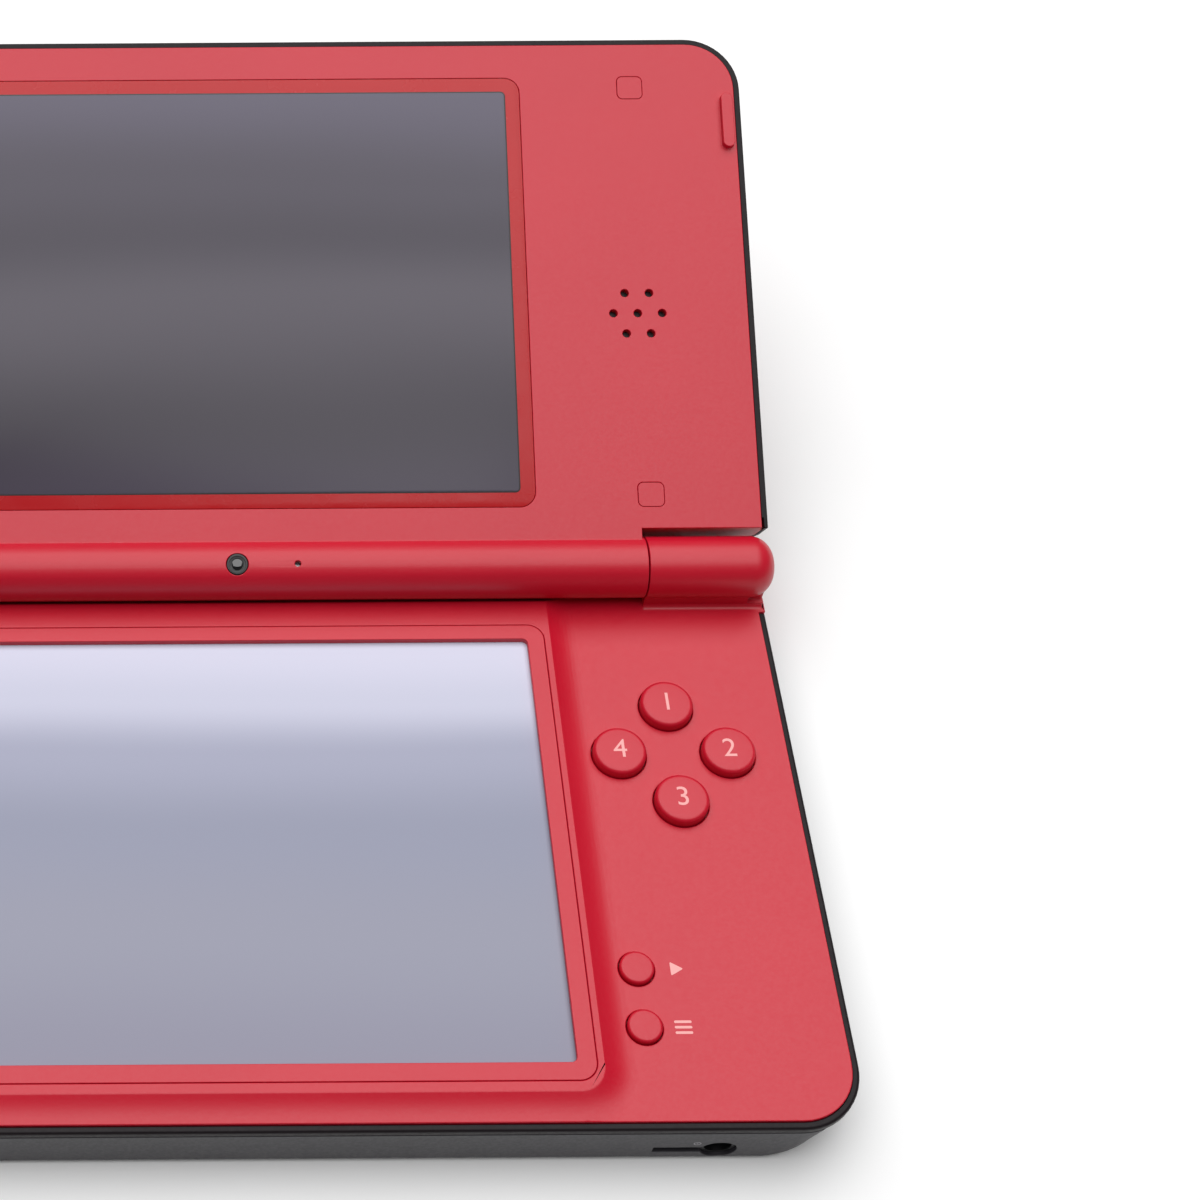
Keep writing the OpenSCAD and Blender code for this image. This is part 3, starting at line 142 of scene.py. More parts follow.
# %% [markdown]
# ## Moulded plastics
# The shells are ABS, moulded in a spark-eroded tool and left matte. The real grain is under
# 0.1 mm, so it is drawn about 0.45 mm wide here, which is as coarse as it needs to be to
# break up the sheen. Slow clouds of tone a few centimetres wide keep the broad faces from
# looking like paint. Other moulded pieces use the same recipe with their own numbers.

# %% Moulded plastic
def moulded(name, low, high, roughness, grain=0.45, depth=0.012, cloud=28.0, **sockets):
    """Moulded plastic: slow clouds in its colour, and a grain in its roughness and relief."""
    material, tree, shader, place = new_material(name, **sockets)
    clouds = add(tree, "TexNoise", {"Vector": place, "Scale": per_mm(cloud), "Detail": 2.0})
    fine = add(tree, "TexNoise", {"Vector": place, "Scale": per_mm(grain), "Detail": 3.0})
    colour = add(tree, "Mix", {0: clouds.outputs["Fac"], 6: linear(low), 7: linear(high)},
                 data_type="RGBA")
    tree.links.new(colour.outputs[2], shader.inputs["Base Color"])
    tree.links.new(spread(tree, fine, roughness - 0.05, roughness + 0.05),
                   shader.inputs["Roughness"])
    if depth:
        bump = add(tree, "Bump", {"Height": fine.outputs["Fac"], "Distance": depth * MM,
                                  "Strength": 0.6})
        tree.links.new(bump.outputs["Normal"], shader.inputs["Normal"])
    return material


matte_red = moulded("matte_red_abs", "#bc0a26", "#c50e2a", 0.38)
gloss_red = moulded("polished_red_abs", "#7c0810", "#840a13", 0.12, grain=0.6, depth=0.0005,
                    Coat_Weight=0.8, Coat_Roughness=0.05)
dark_shell = moulded("dark_matte_abs", "#232026", "#29262c", 0.45)
socket_black = moulded("black_nylon", "#0c0c0d", "#141415", 0.4)
tube_plastic = moulded("natural_acetal", "#c9c9c2", "#d6d6d0", 0.35)
light_pipe = moulded("milky_acrylic", "#d9cfb4", "#e6dec8", 0.25, depth=0)
foot_rubber = moulded("black_silicone_foot", "#1c1b1c", "#242324", 0.75, grain=0.3, depth=0.03)
dome_rubber = moulded("grey_silicone_dome", "#b9b9b9", "#c4c4c4", 0.6)
board_green = moulded("green_solder_mask", "#0c3a1e", "#12492a", 0.3, grain=1.8, depth=0.01)
battery_wrap = moulded("battery_film", "#4a4d52", "#54575c", 0.4)
cable_film = moulded("polyimide_film", "#9a5a14", "#ab6a1e", 0.25)
speaker_black = moulded("speaker_plastic", "#131314", "#1b1b1c", 0.5)
# The rim round the face and the lid's outer shell are the same dark plastic as the shells.
# This darker copy of it is painted shade, with less sheen.
painted_shade_rim = moulded("painted_shade_rim_abs", "#120b0f", "#170f13", 0.45, Specular_IOR_Level=0.2)
print_pink = moulded("pale_pink_ink", "#e9a09e", "#efaaa7", 0.5, depth=0)
print_grey = moulded("grey_mark_ink", "#8a868b", "#959196", 0.5, depth=0)
print("materials:", len(bpy.data.materials))

# %% [markdown]
# ## Metal and glass
# The small springs, pins and screws are steel, turned or stamped, with fine lines along
# one direction. Contacts are gold plated. The cameras are dark glass in a black ring.

# %% Metal and glass
def drawn_metal(name, low, high, roughness):
    """Stamped or turned metal: stretched fine lines in its colour and roughness."""
    material, tree, shader, place = new_material(name, Metallic=1.0)
    stretch = add(tree, "Mapping", {"Vector": place, "Scale": (1.0, 12.0, 12.0)})
    lines = add(tree, "TexNoise", {"Vector": stretch.outputs["Vector"], "Scale": per_mm(2.5)})
    colour = add(tree, "Mix", {0: lines.outputs["Fac"], 6: linear(low), 7: linear(high)},
                 data_type="RGBA")
    tree.links.new(colour.outputs[2], shader.inputs["Base Color"])
    tree.links.new(spread(tree, lines, roughness - 0.08, roughness + 0.08),
                   shader.inputs["Roughness"])
    return material


steel = drawn_metal("nickel_plated_steel", "#b4b5b8", "#c6c7ca", 0.3)
gold = drawn_metal("gold_plated_contact", "#c79a4b", "#d6ab5c", 0.25)
camera_glass = moulded("dark_camera_glass", "#050507", "#09090c", 0.06, grain=5.0, depth=0,
                       Coat_Weight=1.0, Coat_Roughness=0.02)

# %% [markdown]
# ## The two displays
# Both are switched off. The lower one is a resistive touch panel: a flexible film over a
# reflective display, pale and lavender grey, with a painted reflection that makes it lighter
# towards the hinge. The upper one is dark behind its window, with painted reflections as soft
# lighter bands. The tones are laid along the panel's own depth, so they stay put from every
# side.

# %% Displays
def display(name, stops, turn, span, roughness, reflection_band_wobble):
    """Display film: painted reflections as tones along the panel's depth, and soft uneven
    bands.
    """
    material, tree, shader, place = new_material(name, Roughness=roughness,
                                                 Specular_IOR_Level=0.3)
    flat = add(tree, "VectorRotate", {"Vector": place, "Axis": (1, 0, 0), "Angle": turn,
                                      "Center": (0, HINGE_Y * MM, HINGE_Z * MM)})
    parts = add(tree, "SeparateXYZ", {"Vector": flat.outputs["Vector"]})
    # The stretched noise below draws wide soft bands of painted reflection.
    wide = add(tree, "Mapping", {"Vector": flat.outputs["Vector"], "Scale": (0.35, 1.0, 1.0)})
    painted_reflection_bands = add(tree, "TexNoise", {"Vector": wide.outputs["Vector"], "Scale": per_mm(38.0),
                                  "Detail": 1.0})
    # Tones along the panel's depth: a painted reflection, lighter or darker from end to end.
    along = add(tree, "MapRange", {"Value": parts.outputs["Y"], "From Min": span[0] * MM,
                                   "From Max": span[1] * MM})
    total = add(tree, "Math", {0: along.outputs["Result"],
                               1: spread(tree, painted_reflection_bands, -reflection_band_wobble, reflection_band_wobble)}, operation="ADD")
    ramp = add(tree, "ValToRGB", {"Fac": total.outputs[0]})
    ramp.color_ramp.interpolation = "EASE"
    while len(ramp.color_ramp.elements) < len(stops):
        ramp.color_ramp.elements.new(0.5)
    for stop, (at, code) in zip(ramp.color_ramp.elements, stops):
        stop.position, stop.color = at, linear(code)
    tree.links.new(ramp.outputs["Color"], shader.inputs["Base Color"])
    return material


# The touch film's stops grow lighter towards the hinge: a painted reflection over its lavender
# grey.
touch_film = display("resistive_touch_film_painted_reflection",
                     [(0.0, "#888799"), (0.3, "#8f90a1"), (0.52, "#8c8fa3"), (0.7, "#9c9eb3"),
                      (0.85, "#bfc0d3"), (1.0, "#c9c9dc")],
                     turn=0.0, span=(-37.3, 28.1), roughness=0.3, reflection_band_wobble=0.03)
# The upper film's stops, lighter and darker in turn and lightest at the top, are painted
# reflections on the dark display.
upper_film = display("dark_display_film_painted_reflection",
                     [(0.0, "#4a4451"), (0.2, "#3e3943"), (0.45, "#524d57"), (0.62, "#423d48"),
                      (0.75, "#494450"), (1.0, "#5a5565")],
                     turn=-math.radians(LID_TURN), span=(49.9, 114.4), roughness=0.22,
                     reflection_band_wobble=0.04)
window_red = moulded("window_border_print", "#ad151b", "#b5191f", 0.25, grain=4.0, depth=0,
                     Specular_IOR_Level=0.3)

# %% A finish for every CAD node
finish_of = {
    "matte_red_plastic": matte_red, "gloss_red_plastic": gloss_red,
    "dark_shell_plastic": dark_shell, "socket_plastic": socket_black,
    "tube_plastic": tube_plastic, "light_pipe": light_pipe, "foot_rubber": foot_rubber,
    "dome_rubber": dome_rubber, "steel": steel, "board": board_green,
    "battery_wrap": battery_wrap, "cable_film": cable_film, "speaker_black": speaker_black,
    "screen_panel": touch_film, "display": upper_film, "lens_border": window_red,
    "camera_glass": camera_glass,
}
# These two take the darker copy: painted shade on their edges.
RIMS_IN_PAINTED_SHADE = ("rim_band", "lid_outer_shell")
for name, node in nodes.items():
    node.data.materials.clear()
    node.data.materials.append(painted_shade_rim if name in RIMS_IN_PAINTED_SHADE else finish_of[slot_of[name]])
print("finished nodes:", len(nodes))

# %% [markdown]
# ## Helpers for pieces
# Operators act on all that is selected, so every step starts with nothing selected. A piece
# is shaped round its own middle, then placed, and at the end its place goes into its mesh.

# %% Helpers for pieces
def fresh():
    """Leaves edit mode and deselects everything, because operators act on all selected."""
    if bpy.context.mode != "OBJECT":
        bpy.ops.object.mode_set(mode="OBJECT")
    bpy.ops.object.select_all(action="DESELECT")


def take(piece):
    """Makes the piece the only selected one, and active."""
    fresh()
    piece.select_set(True)
    bpy.context.view_layer.objects.active = piece


def start(kind, at=(0, 0, 0), **shape):
    """Adds a primitive at a place in millimetres, ready to be shaped."""
    fresh()
    getattr(bpy.ops.mesh, f"primitive_{kind}_add")(location=[v * MM for v in at], **shape)
    return bpy.context.active_object


def pick(piece, kind, test):
    """Opens the piece for editing, with only the faces, edges or verts that pass selected."""
    take(piece)
    bpy.ops.object.mode_set(mode="EDIT")
    bpy.ops.mesh.select_mode(type={"faces": "FACE", "edges": "EDGE", "verts": "VERT"}[kind])
    bpy.ops.mesh.select_all(action="DESELECT")
    mesh = bmesh.from_edit_mesh(piece.data)
    for item in getattr(mesh, kind):
        if test(item):
            item.select_set(True)
    bmesh.update_edit_mesh(piece.data)


def apply_modifier(piece, kind, **settings):
    """Adds a modifier with its settings, and applies it."""
    take(piece)
    modifier = piece.modifiers.new("shape", kind)
    for name, value in settings.items():
        setattr(modifier, name, value)
    bpy.ops.object.modifier_apply(modifier="shape")


def copy_of(piece, x=0.0, y=0.0, z=0.0):
    """A copy with a mesh of its own, moved by millimetres."""
    other = bpy.data.objects.new(piece.name, piece.data.copy())
    bpy.context.scene.collection.objects.link(other)
    other.matrix_world = Matrix.Translation((x * MM, y * MM, z * MM)) @ piece.matrix_world
    return other


def join(pieces):
    """Joins pieces into the first one."""
    take(pieces[0])
    for piece in pieces[1:]:
        piece.select_set(True)
    bpy.ops.object.join()
    return pieces[0]


def settle(piece, name, body, finish, stands_for=(), smooth=40):
    """Names and finishes a piece, leaves it unturned at the origin, and lets it ride."""
    take(piece)
    bpy.ops.object.transform_apply(location=True, rotation=True, scale=True)
    piece.name = piece.data.name = name
    piece.data.materials.clear()
    piece.data.materials.append(finish)
    bpy.ops.object.shade_smooth_by_angle(angle=math.radians(smooth))
    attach(piece, body)
    if stands_for:
        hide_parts(*stands_for)
    return piece


# %% [markdown]
# ## Softened shells
# No moulded edge is knife sharp, and the thin bright line along an edge is what makes a
# shell look real. Each visible shell is a copy of its CAD node, merged and with its flat
# faces joined, and then bevelled. The copy stands for the node, whose mesh stays as it is.
# Weighted normals keep the broad faces flat, so only the small bevels catch the light. The
# rim round the face is rolled: its outer top edge gets a wide round bevel before the others.

# %% Softened shells
RIM_TOP, RIM_ROLL, RIM_SLACK = 10.65, 0.45, 0.02
# an edge past one of these, in millimetres, is on the outside of the base
BASE_SIDE, BASE_FRONT, BASE_LOW, BASE_HIGH = 79.2, 45.2, 1.7, 9.2
# corners as near as this in metres are merged, and faces as flat as this in degrees joined
MERGE_WITHIN, FLAT_WITHIN = 2e-6, 0.4


def rim_outer_edge(edge):
    """Whether an edge runs along the outside of the rim's top, leaving out its cut ends."""
    if min(v.co.z for v in edge.verts) < (RIM_TOP - RIM_SLACK) * MM:
        return False
    middle = (edge.verts[0].co + edge.verts[1].co) / 2
    return any(abs(f.normal.z) < 0.1 and f.normal.y < 0.9 and f.normal.dot(middle) > 0
               for f in edge.link_faces)


def base_outside(edge):
    """Whether an edge lies on the outside of the base, away from the thin steps inside it."""
    return all(abs(v.co.y) > BASE_FRONT * MM or abs(v.co.x) > BASE_SIDE * MM
               or v.co.z < BASE_LOW * MM or v.co.z > BASE_HIGH * MM for v in edge.verts)


def soften(node, width, segments=3, angle=30, rolled=None, only=None):
    """A bevelled copy of a CAD node that stands for it. The width is in millimetres.

    Edges that pass the test rolled get the rim's wide bevel first. Where there is a test
    only, no edge is bevelled but those that pass it.
    """
    piece = bpy.data.objects.new("dressed_" + node, nodes[node].data.copy())
    bpy.context.scene.collection.objects.link(piece)
    pick(piece, "verts", lambda v: True)
    bpy.ops.mesh.remove_doubles(threshold=MERGE_WITHIN)
    bpy.ops.mesh.dissolve_limited(angle_limit=math.radians(FLAT_WITHIN))
    if rolled:
        pick(piece, "edges", rolled)
        bpy.ops.mesh.bevel(offset=RIM_ROLL * MM, segments=6, profile=0.5, affect="EDGES")
    if only:
        pick(piece, "edges", lambda e: e.calc_face_angle(0) > math.radians(angle) and only(e))
        bpy.ops.mesh.bevel(offset=width * MM, segments=segments, affect="EDGES")
        fresh()
    else:
        fresh()
        apply_modifier(piece, "BEVEL", limit_method="ANGLE", angle_limit=math.radians(angle),
                       width=width * MM, segments=segments, use_clamp_overlap=False)
    settle(piece, "dressed_" + node, body_of[node], nodes[node].data.materials[0],
           [node])
    apply_modifier(piece, "WEIGHTED_NORMAL", mode="FACE_AREA", weight=50, keep_sharp=True)
    print(node, "faces:", len(piece.data.polygons))


SOFT_EDGES = {
    "faceplate": 0.16, "screen_frame": 0.12, "lid_inner_shell": 0.12, "lid_outer_shell": 0.14,
    "lower_shell": 0.12, "rim_band": 0.08, "lid_cover_plate": 0.2, "battery_cover": 0.15,
    "dpad": 0.3, "shoulder_left": 0.35, "shoulder_right": 0.35, "volume_rocker": 0.2,
    "sd_door": 0.12, "screw_covers": 0.04, "rubber_feet": 0.15, "stylus": 0.06,
}
# The field's slope starts at 31 degrees, so the faceplate's limit lies well under that. A
# thin crack is left at the field's front right corner, and its cause isn't known.
OWN_WAY = {"rim_band": {"rolled": rim_outer_edge}, "lower_shell": {"only": base_outside},
           "faceplate": {"angle": 25}}
for node, width in SOFT_EDGES.items():
    soften(node, width, **OWN_WAY.get(node, {}))

# %% [markdown]
# ## Push buttons
# Each button is one moulded cap: a rolled rim, a top that is very slightly crowned, and a
# flange below that keeps it in the shell. It starts as a cylinder. The rim is a bevel of
# the top's edge, the crown comes from insets that rise a little, the flange is extruded
# from its foot, and the plunger is one more inset. It is made once for each size, and copied.

# %% Push buttons
FLANGE_OUT, FLANGE_T, PLUNGER_R, PLUNGER_L = 0.8, 0.9, 2.0, 0.5
CROWN_INSET, CROWN_RISES = 0.28, (0.5, 0.3, 0.2)


def flat_end(way):
    """A test for the wide end face of a turned piece, up (1) or down (-1)."""
    return lambda face: way * face.normal.z > 0.99 and len(face.verts) > 8


def button_cap(radius, top, rim, crown):
    """A push button round the origin's upright axis, at its real height."""
    cap = start("cylinder", (0, 0, (FLANGE_TOP + top) / 2), vertices=96, radius=radius * MM,
                depth=(top - FLANGE_TOP) * MM)
    pick(cap, "faces", flat_end(1))
    bpy.ops.mesh.bevel(offset=rim * MM, segments=7, profile=0.5, affect="EDGES")
    pick(cap, "faces", flat_end(1))
    for rise in CROWN_RISES:
        bpy.ops.mesh.inset(thickness=(radius - rim) * CROWN_INSET * MM,
                           depth=rise * crown * MM)
    pick(cap, "faces", flat_end(-1))
    wider = 1 + FLANGE_OUT / radius
    bpy.ops.mesh.extrude_region_move()
    bpy.ops.transform.resize(value=(wider, wider, 1), center_override=(0, 0, FLANGE_TOP * MM))
    bpy.ops.mesh.extrude_region_move(TRANSFORM_OT_translate={"value": (0, 0, -FLANGE_T * MM)})
    bpy.ops.mesh.inset(thickness=(radius + FLANGE_OUT - PLUNGER_R) * MM, depth=PLUNGER_L * MM)
    fresh()
    return cap


for places, size in (
        (FACE_BUTTONS, {"radius": 3.8, "top": 12.55, "rim": 0.65, "crown": 0.07}),
        (SMALL_BUTTONS, {"radius": 2.3, "top": 11.8, "rim": 0.42, "crown": 0.05})):
    master = button_cap(**size)
    for node, (x, y) in places.items():
        settle(copy_of(master, x, y), "cap_of_" + node, node, matte_red,
               [node])
    print("cap faces:", len(master.data.polygons), "copies:", len(places))
    bpy.data.objects.remove(master)

# %% [markdown]
# ## Marks
# The face buttons carry plain numbers, and the small ones have plain signs beside them, in
# pale ink. Ink has no thickness to speak of, so each mark is a plate 0.04 mm thick, half
# sunk in its surface. Numbers are text made into a mesh. Signs start as a bar or a
# three-sided prism, whose corners are rounded.

# %% Numbers on the face buttons
INK_T, NUMBER_SIZE, NUMBER_Z = 0.04, 4.2, 12.61


def ink(piece, name, body, finish=print_pink):
    """Finishes a mark."""
    return settle(piece, name, body, finish, smooth=20)


for node, number in (("button_top", "1"), ("button_right", "2"), ("button_bottom", "3"),
                     ("button_left", "4")):
    fresh()
    bpy.ops.object.text_add()
    text = bpy.context.active_object
    text.data.body, text.data.size = number, NUMBER_SIZE * MM
    text.data.extrude = INK_T / 2 * MM
    text.data.align_x = text.data.align_y = "CENTER"
    bpy.ops.object.convert(target="MESH")
    mark = bpy.context.active_object
    x, y = FACE_BUTTONS[node]
    mark.location = (x * MM, y * MM, NUMBER_Z * MM)
    ink(mark, "number_" + number, node)
print("numbers: 4")

# %% Signs beside the small buttons
def bar(width, depth, at):
    """A flat bar with round corners, in millimetres."""
    piece = start("cube", at, size=1, scale=(width * MM, depth * MM, INK_T * MM))
    take(piece)
    bpy.ops.object.transform_apply(location=True, scale=True)
    pick(piece, "edges", lambda e: abs((e.verts[0].co - e.verts[1].co).z) > 0.5 * INK_T * MM)
    bpy.ops.mesh.bevel(offset=min(width, depth) * 0.45 * MM, segments=4, affect="EDGES")
    fresh()
    return piece


def prism(radius, at, height=INK_T, rounding=0.22):
    """A flat triangle that points along +X, with round corners, in millimetres."""
    piece = start("cylinder", at, vertices=3, radius=radius * MM, depth=height * MM)
    piece.rotation_euler.z = -math.pi / 2
    take(piece)
    bpy.ops.object.transform_apply(location=True, rotation=True)
    pick(piece, "edges", lambda e: abs((e.verts[0].co - e.verts[1].co).z) > 0.5 * height * MM)
    bpy.ops.mesh.bevel(offset=rounding * MM, segments=4, affect="EDGES")
    fresh()
    return piece


SIGN_OUT, TRIANGLE_R = 5.1, 1.15
STRIPE, STRIPE_PITCH = (2.3, 0.36), 0.75
start_x, start_y = SMALL_BUTTONS["start_button"]
ink(prism(TRIANGLE_R, (start_x + SIGN_OUT, start_y, PANEL_Z)), "sign_start", "base")
select_x, select_y = SMALL_BUTTONS["select_button"]
ink(join([bar(*STRIPE, (select_x + SIGN_OUT, select_y + STRIPE_PITCH * i, PANEL_Z))
          for i in (-1, 0, 1)]), "sign_select", "base")

# The power sign is an open ring, spun from a small upright face, with an upright bar. Its
# line, radius and bar are in millimetres, its turn and sweep in degrees.
POWER_LINE, POWER_R, POWER_TURN, POWER_SWEEP = 0.34, 1.0, 35, 290
POWER_BAR, POWER_BAR_UP = 1.1, 0.95
power_x, power_y = SMALL_BUTTONS["power_button"]
ring_at = Vector(((power_x - SIGN_OUT) * MM, power_y * MM, PANEL_Z * MM))
ring = start("plane", size=POWER_LINE * MM)
pick(ring, "faces", lambda f: True)
bpy.ops.transform.rotate(value=math.radians(90), orient_axis="Y", center_override=(0, 0, 0))
bpy.ops.transform.resize(value=(1, 1, INK_T / POWER_LINE), center_override=(0, 0, 0))
fresh()
ring.matrix_world = (Matrix.Translation(ring_at)
                     @ Matrix.Rotation(math.radians(POWER_TURN), 4, "Z")
                     @ Matrix.Translation((0, POWER_R * MM, 0)))
take(ring)
bpy.ops.object.transform_apply(location=True, rotation=True)
pick(ring, "faces", lambda f: True)
bpy.ops.mesh.spin(steps=32, angle=math.radians(POWER_SWEEP), center=ring_at, axis=(0, 0, 1))
bpy.ops.mesh.select_all(action="SELECT")
bpy.ops.mesh.normals_make_consistent(inside=False)
fresh()
ink(join([ring, bar(POWER_LINE, POWER_BAR,
                    (power_x - SIGN_OUT, power_y + POWER_BAR_UP, PANEL_Z))]),
    "sign_power", "base")
print("signs: 3")

# %% [markdown]
# ## Upper window
# The window is one clear sheet with a red border printed on its back, over a dark display.
# Seen from outside that is a red plate, a thin black edge where the display's own frame
# shows, and the display. Three thin plates give it, each from a plane whose corners are
# bevelled and whose body is a Solidify modifier.

# %% Upper window
WINDOW_Y, WINDOW_TOP = 43.35, 2.8
FILM_T, PLATE_STEP, PLATE_EDGE = 0.05, 0.01, 0.05


def rounded_plate(width, depth, corner, top, thick):
    """A plate with round corners in the lid's own frame, in millimetres."""
    plate = start("plane", size=1)
    plate.scale = (width * MM, depth * MM, 1)
    take(plate)
    bpy.ops.object.transform_apply(scale=True)
    pick(plate, "verts", lambda v: True)
    bpy.ops.mesh.bevel(offset=corner * MM, segments=8, affect="VERTICES")
    fresh()
    apply_modifier(plate, "SOLIDIFY", thickness=thick * MM, offset=-1)
    apply_modifier(plate, "BEVEL", width=min(PLATE_EDGE, thick / 3) * MM, segments=2,
                   limit_method="ANGLE")
    plate.matrix_world = LID @ Matrix.Translation((0, WINDOW_Y * MM, top * MM))
    return plate


settle(rounded_plate(width=89.9, depth=69.1, corner=2.4, top=WINDOW_TOP - 2 * PLATE_STEP,
                     thick=0.78),
       "window_border", "lid", window_red, ["lens_window"])
settle(rounded_plate(width=85.5, depth=64.7, corner=0.8, top=WINDOW_TOP - PLATE_STEP,
                     thick=FILM_T),
       "window_black_edge", "lid", socket_black)
settle(rounded_plate(width=85.1, depth=64.3, corner=0.6, top=WINDOW_TOP, thick=FILM_T),
       "window_display", "lid", upper_film)
print("window plates: 3")

# %% [markdown]
# ## Direction pad
# Four small raised arrows tell the thumb where the arms are. Each is a low prism with
# rounded corners and a softened top, turned to its arm.

# %% Direction pad arrows
PAD_AT, PAD_TOP = (-62.2, 9.0), 11.9
ARROW_OUT, ARROW_H, ARROW_EDGE = 7.7, 0.3, 0.06
arrows = []
for turn in range(4):
    arrow = prism(TRIANGLE_R, (ARROW_OUT, 0, 0), height=ARROW_H)
    apply_modifier(arrow, "BEVEL", width=ARROW_EDGE * MM, segments=2, limit_method="ANGLE",
                   angle_limit=math.radians(60))
    arrow.matrix_world = (Matrix.Translation((PAD_AT[0] * MM, PAD_AT[1] * MM, PAD_TOP * MM))
                          @ Matrix.Rotation(turn * math.pi / 2, 4, "Z"))
    take(arrow)
    bpy.ops.object.transform_apply(location=True, rotation=True)
    arrows.append(arrow)
settle(join(arrows), "pad_arrows", "dpad", matte_red)
print("arrows:", len(arrows))

# %% [markdown]
# ## Cameras
# A camera shows as a black ring that steps down to a small domed lens. The ring is a
# cylinder whose face is inset and sunk in steps, and the lens is a low dome, inset upwards.

# %% Cameras
# All of these are parts of the camera's radius. Each step goes inwards and up.
RING_EDGE = 0.05
RING_STEPS = ((0.14, 0), (0.03, -0.1), (0.16, -0.02), (0.03, -0.1))
LENS_R, LENS_H, LENS_DOWN = 0.52, 0.1, 0.19
LENS_STEPS = ((0.12, 0.05), (0.14, 0.03), (0.12, 0.01))


def step_in(piece, steps, radius):
    """Insets the upper end of a turned piece, step by step."""
    pick(piece, "faces", flat_end(1))
    for inward, up in steps:
        bpy.ops.mesh.inset(thickness=inward * radius * MM, depth=up * radius * MM)
    fresh()


def camera_unit(name, radius, depth, where):
    """A ring and a lens that face +Z at the origin, placed by a matrix."""
    ring = start("cylinder", (0, 0, -depth / 2), vertices=64, radius=radius * MM,
                 depth=depth * MM)
    pick(ring, "faces", flat_end(1))
    bpy.ops.mesh.bevel(offset=RING_EDGE * radius * MM, segments=2, affect="EDGES")
    step_in(ring, RING_STEPS, radius)
    lens = start("cylinder", (0, 0, -LENS_DOWN * radius), vertices=48,
                 radius=LENS_R * radius * MM, depth=LENS_H * radius * MM)
    step_in(lens, LENS_STEPS, radius)
    ring.matrix_world = where @ ring.matrix_world
    lens.matrix_world = where @ lens.matrix_world
    settle(ring, name + "_ring", "lid", socket_black, [name])
    settle(lens, name + "_lens", "lid", camera_glass)


camera_unit("inner_camera", radius=1.58, depth=3.8,
            where=LID @ Matrix.Translation((0, 0, 4.33 * MM)))
camera_unit("outer_camera", radius=3.18, depth=4.3,
            where=LID @ Matrix.Translation((-66 * MM, 68 * MM, -5.6 * MM))
            @ Matrix.Rotation(math.pi, 4, "X"))
print("cameras: 2")

# %% [markdown]
# ## Screws
# The screws under the base have pan heads with a cross recess. A head is a cylinder with a
# rolled edge, the shaft is extruded from it, and the recess is cut by two crossed blocks
# with a Boolean modifier. One screw of each size is made and copied.

# %% Screws
HEAD_ROLL = 0.35  # a part of the head's height
RECESS_L, RECESS_W = 1.1, 0.26  # parts of the head's radius


def cross_screw(head_r, head_h, shaft_r, length):
    """A screw whose head faces down, its outer face at height 0."""
    screw = start("cylinder", (0, 0, head_h / 2), vertices=48, radius=head_r * MM,
                  depth=head_h * MM)
    pick(screw, "faces", flat_end(-1))
    bpy.ops.mesh.bevel(offset=HEAD_ROLL * head_h * MM, segments=4, affect="EDGES")
    pick(screw, "faces", flat_end(1))
    bpy.ops.mesh.inset(thickness=(head_r - shaft_r) * MM)
    bpy.ops.mesh.extrude_region_move(
        TRANSFORM_OT_translate={"value": (0, 0, (length - head_h) * MM)})
    fresh()
    cutters = [start("cube", size=1, scale=scale) for scale in
               ((RECESS_L * head_r * MM, RECESS_W * head_r * MM, head_h * MM),
                (RECESS_W * head_r * MM, RECESS_L * head_r * MM, head_h * MM))]
    for cutter in cutters:
        apply_modifier(screw, "BOOLEAN", object=cutter, operation="DIFFERENCE",
                       solver="EXACT")
        bpy.data.objects.remove(cutter)
    return screw


for node, places, height, size in (
        ("case_screws", ((71.2, -37.2), (-71.2, -37.2), (69.7, 24), (-69.7, 24)), 1.3,
         {"head_r": 2.0, "head_h": 0.9, "shaft_r": 1.0, "length": 6.6}),
        ("battery_cover_screws", ((25, -36.5), (-9, -36.5)), 0.5,
         {"head_r": 1.5, "head_h": 0.6, "shaft_r": 0.8, "length": 3.6})):
    master = cross_screw(**size)
    set_of_screws = join([copy_of(master, x, y, height) for x, y in places])
    bpy.data.objects.remove(master)
    settle(set_of_screws, "cross_" + node, "base", steel, [node])
    print(node, len(places))

# %% [markdown]
# ## Ports and side marks
# Contacts are thin gold blades with softened corners. The jack has a small ring and dot
# beside it, and the volume key a plus and a minus, in grey ink.

# %% Contacts
def blade(width, depth, height, at):
    """A small gold contact with softened edges, in millimetres."""
    piece = start("cube", at, size=1, scale=(width * MM, depth * MM, height * MM))
    take(piece)
    bpy.ops.object.transform_apply(location=True, scale=True)
    apply_modifier(piece, "BEVEL", width=0.04 * MM, segments=2)
    return piece


def contacts(name, count, pitch, first, size):
    """A row of blades along X that starts at the first one's place, in millimetres."""
    x, y, z = first
    row = [blade(*size, (x + pitch * i, y, z)) for i in range(count)]
    settle(join(row), name, "base", gold)


contacts("slit_contacts", count=3, pitch=1.5, first=(54.6, -43.2, 2.95), size=(0.7, 2.2, 0.12))
contacts("port_contacts", count=4, pitch=1.3, first=(16.05, 40.4, 4.68), size=(0.5, 3.2, 0.1))
print("contacts: 7")

# %% Side marks
def upright(piece, at, turn):
    """Stands a flat mark on a wall: faces -Y, then turned about the vertical."""
    piece.matrix_world = (Matrix.Translation([v * MM for v in at])
                          @ Matrix.Rotation(math.radians(turn), 4, "Z")
                          @ Matrix.Rotation(math.pi / 2, 4, "X") @ piece.matrix_world)
    return piece


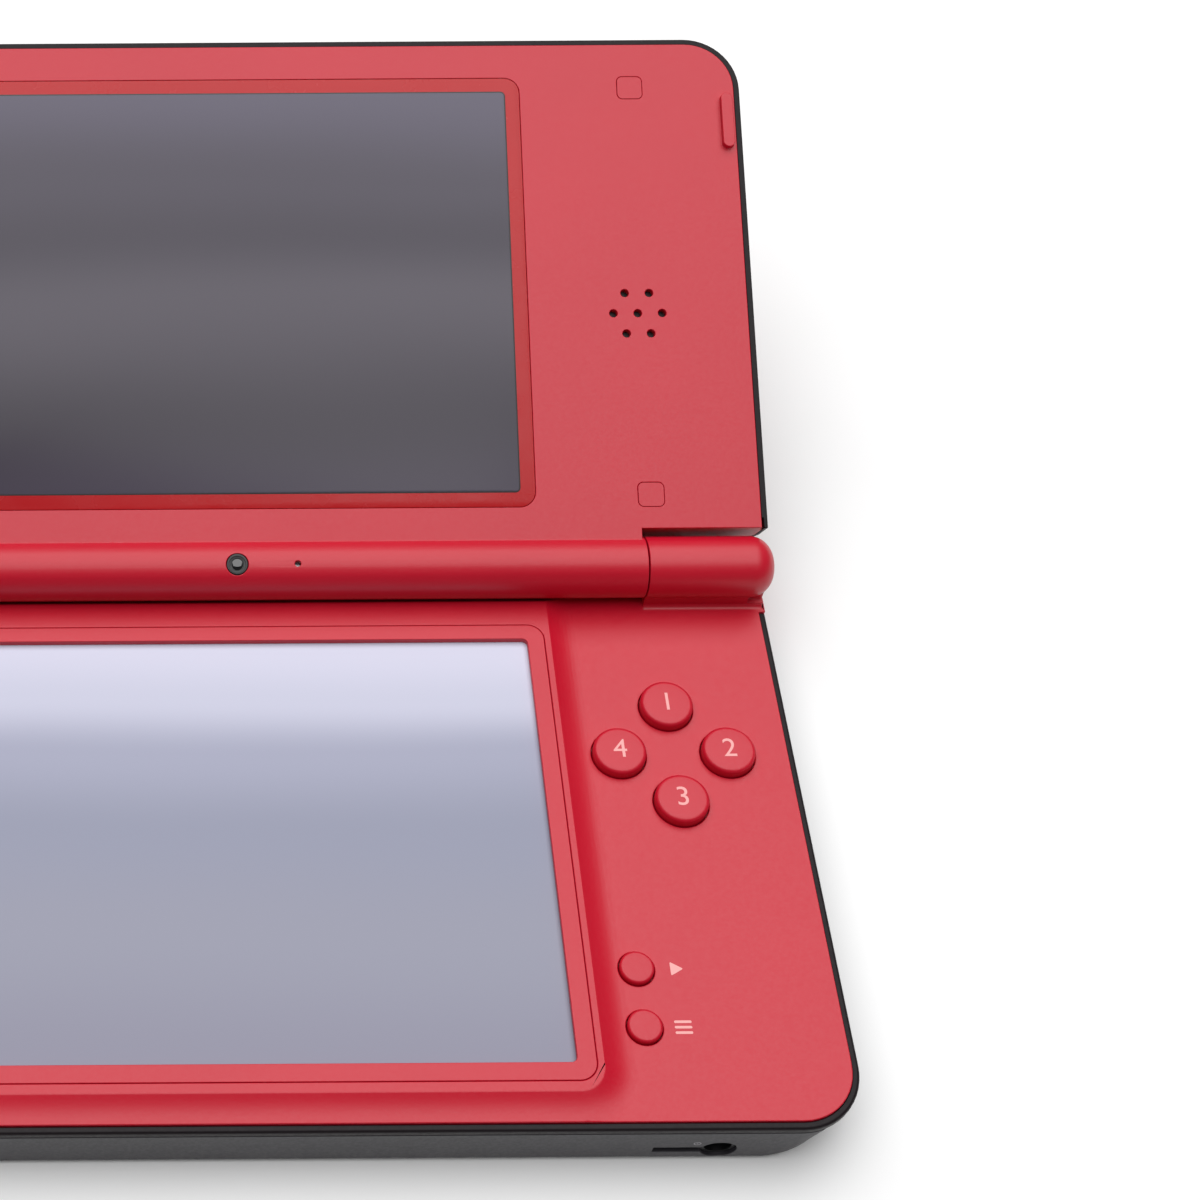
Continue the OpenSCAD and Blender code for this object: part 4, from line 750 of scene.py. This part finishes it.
jack_ring = start("torus", major_radius=0.42 * MM, minor_radius=0.09 * MM, major_segments=32,
                  minor_segments=8)
pick(jack_ring, "verts", lambda v: True)
bpy.ops.transform.resize(value=(1, 1, 0.25), center_override=(0, 0, 0))
fresh()
JACK_DOT, JACK_MARK_AT = (0.22, 0.22), (58.4, -45.7, 5.8)
ink(upright(join([jack_ring, bar(*JACK_DOT, (0, 0, 0))]), JACK_MARK_AT, 0),
    "mark_jack", "base", print_grey)
ROCKER_X, ROCKER_Z = -80.05, 5.6
LYING, STANDING = (1.3, 0.26), (0.26, 1.3)
for name, y, bars in (("plus", 4.0, (LYING, STANDING)), ("minus", -8.4, (LYING,))):
    mark = join([bar(w, d, (0, 0, 0)) for w, d in bars])
    ink(upright(mark, (ROCKER_X, y, ROCKER_Z), -90), "mark_" + name, "volume_rocker",
        print_grey)
print("side marks: 3")

# %% [markdown]
# ## Stage
# A plain pale floor under the rubber feet, a faint white room, and one broad softbox above
# and behind, as in the photo: tops are bright, and what faces the viewer falls into shade.

# %% Floor and lights
FLOOR_Z, FLOOR_SIZE = -0.05, 6  # in millimetres and in metres
ROOM_LIGHT = 0.11
floor = start("plane", (0, 0, FLOOR_Z), size=FLOOR_SIZE)
floor.name = "floor"
floor.data.materials.append(moulded("pale_paper", "#f4f4f4", "#f7f7f7", 0.9, depth=0))

world = bpy.data.worlds.new("white_room")
bpy.context.scene.world = world
world.use_nodes = True
world.node_tree.nodes["Background"].inputs["Color"].default_value = (1, 1, 1, 1)
world.node_tree.nodes["Background"].inputs["Strength"].default_value = ROOM_LIGHT


def softbox(name, at, towards, size, power):
    """A large square area light that faces a point."""
    data = bpy.data.lights.new(name, "AREA")
    data.shape, data.size, data.energy = "SQUARE", size, power
    light = bpy.data.objects.new(name, data)
    bpy.context.scene.collection.objects.link(light)
    light.location = at
    light.rotation_euler = (Vector(towards) - Vector(at)).to_track_quat("-Z", "Y").to_euler()


softbox("overhead", at=(0.0, 0.2, 1.0), towards=(0, 0.03, 0), size=1.5, power=18.5)
bpy.context.scene.view_settings.view_transform = "Standard"
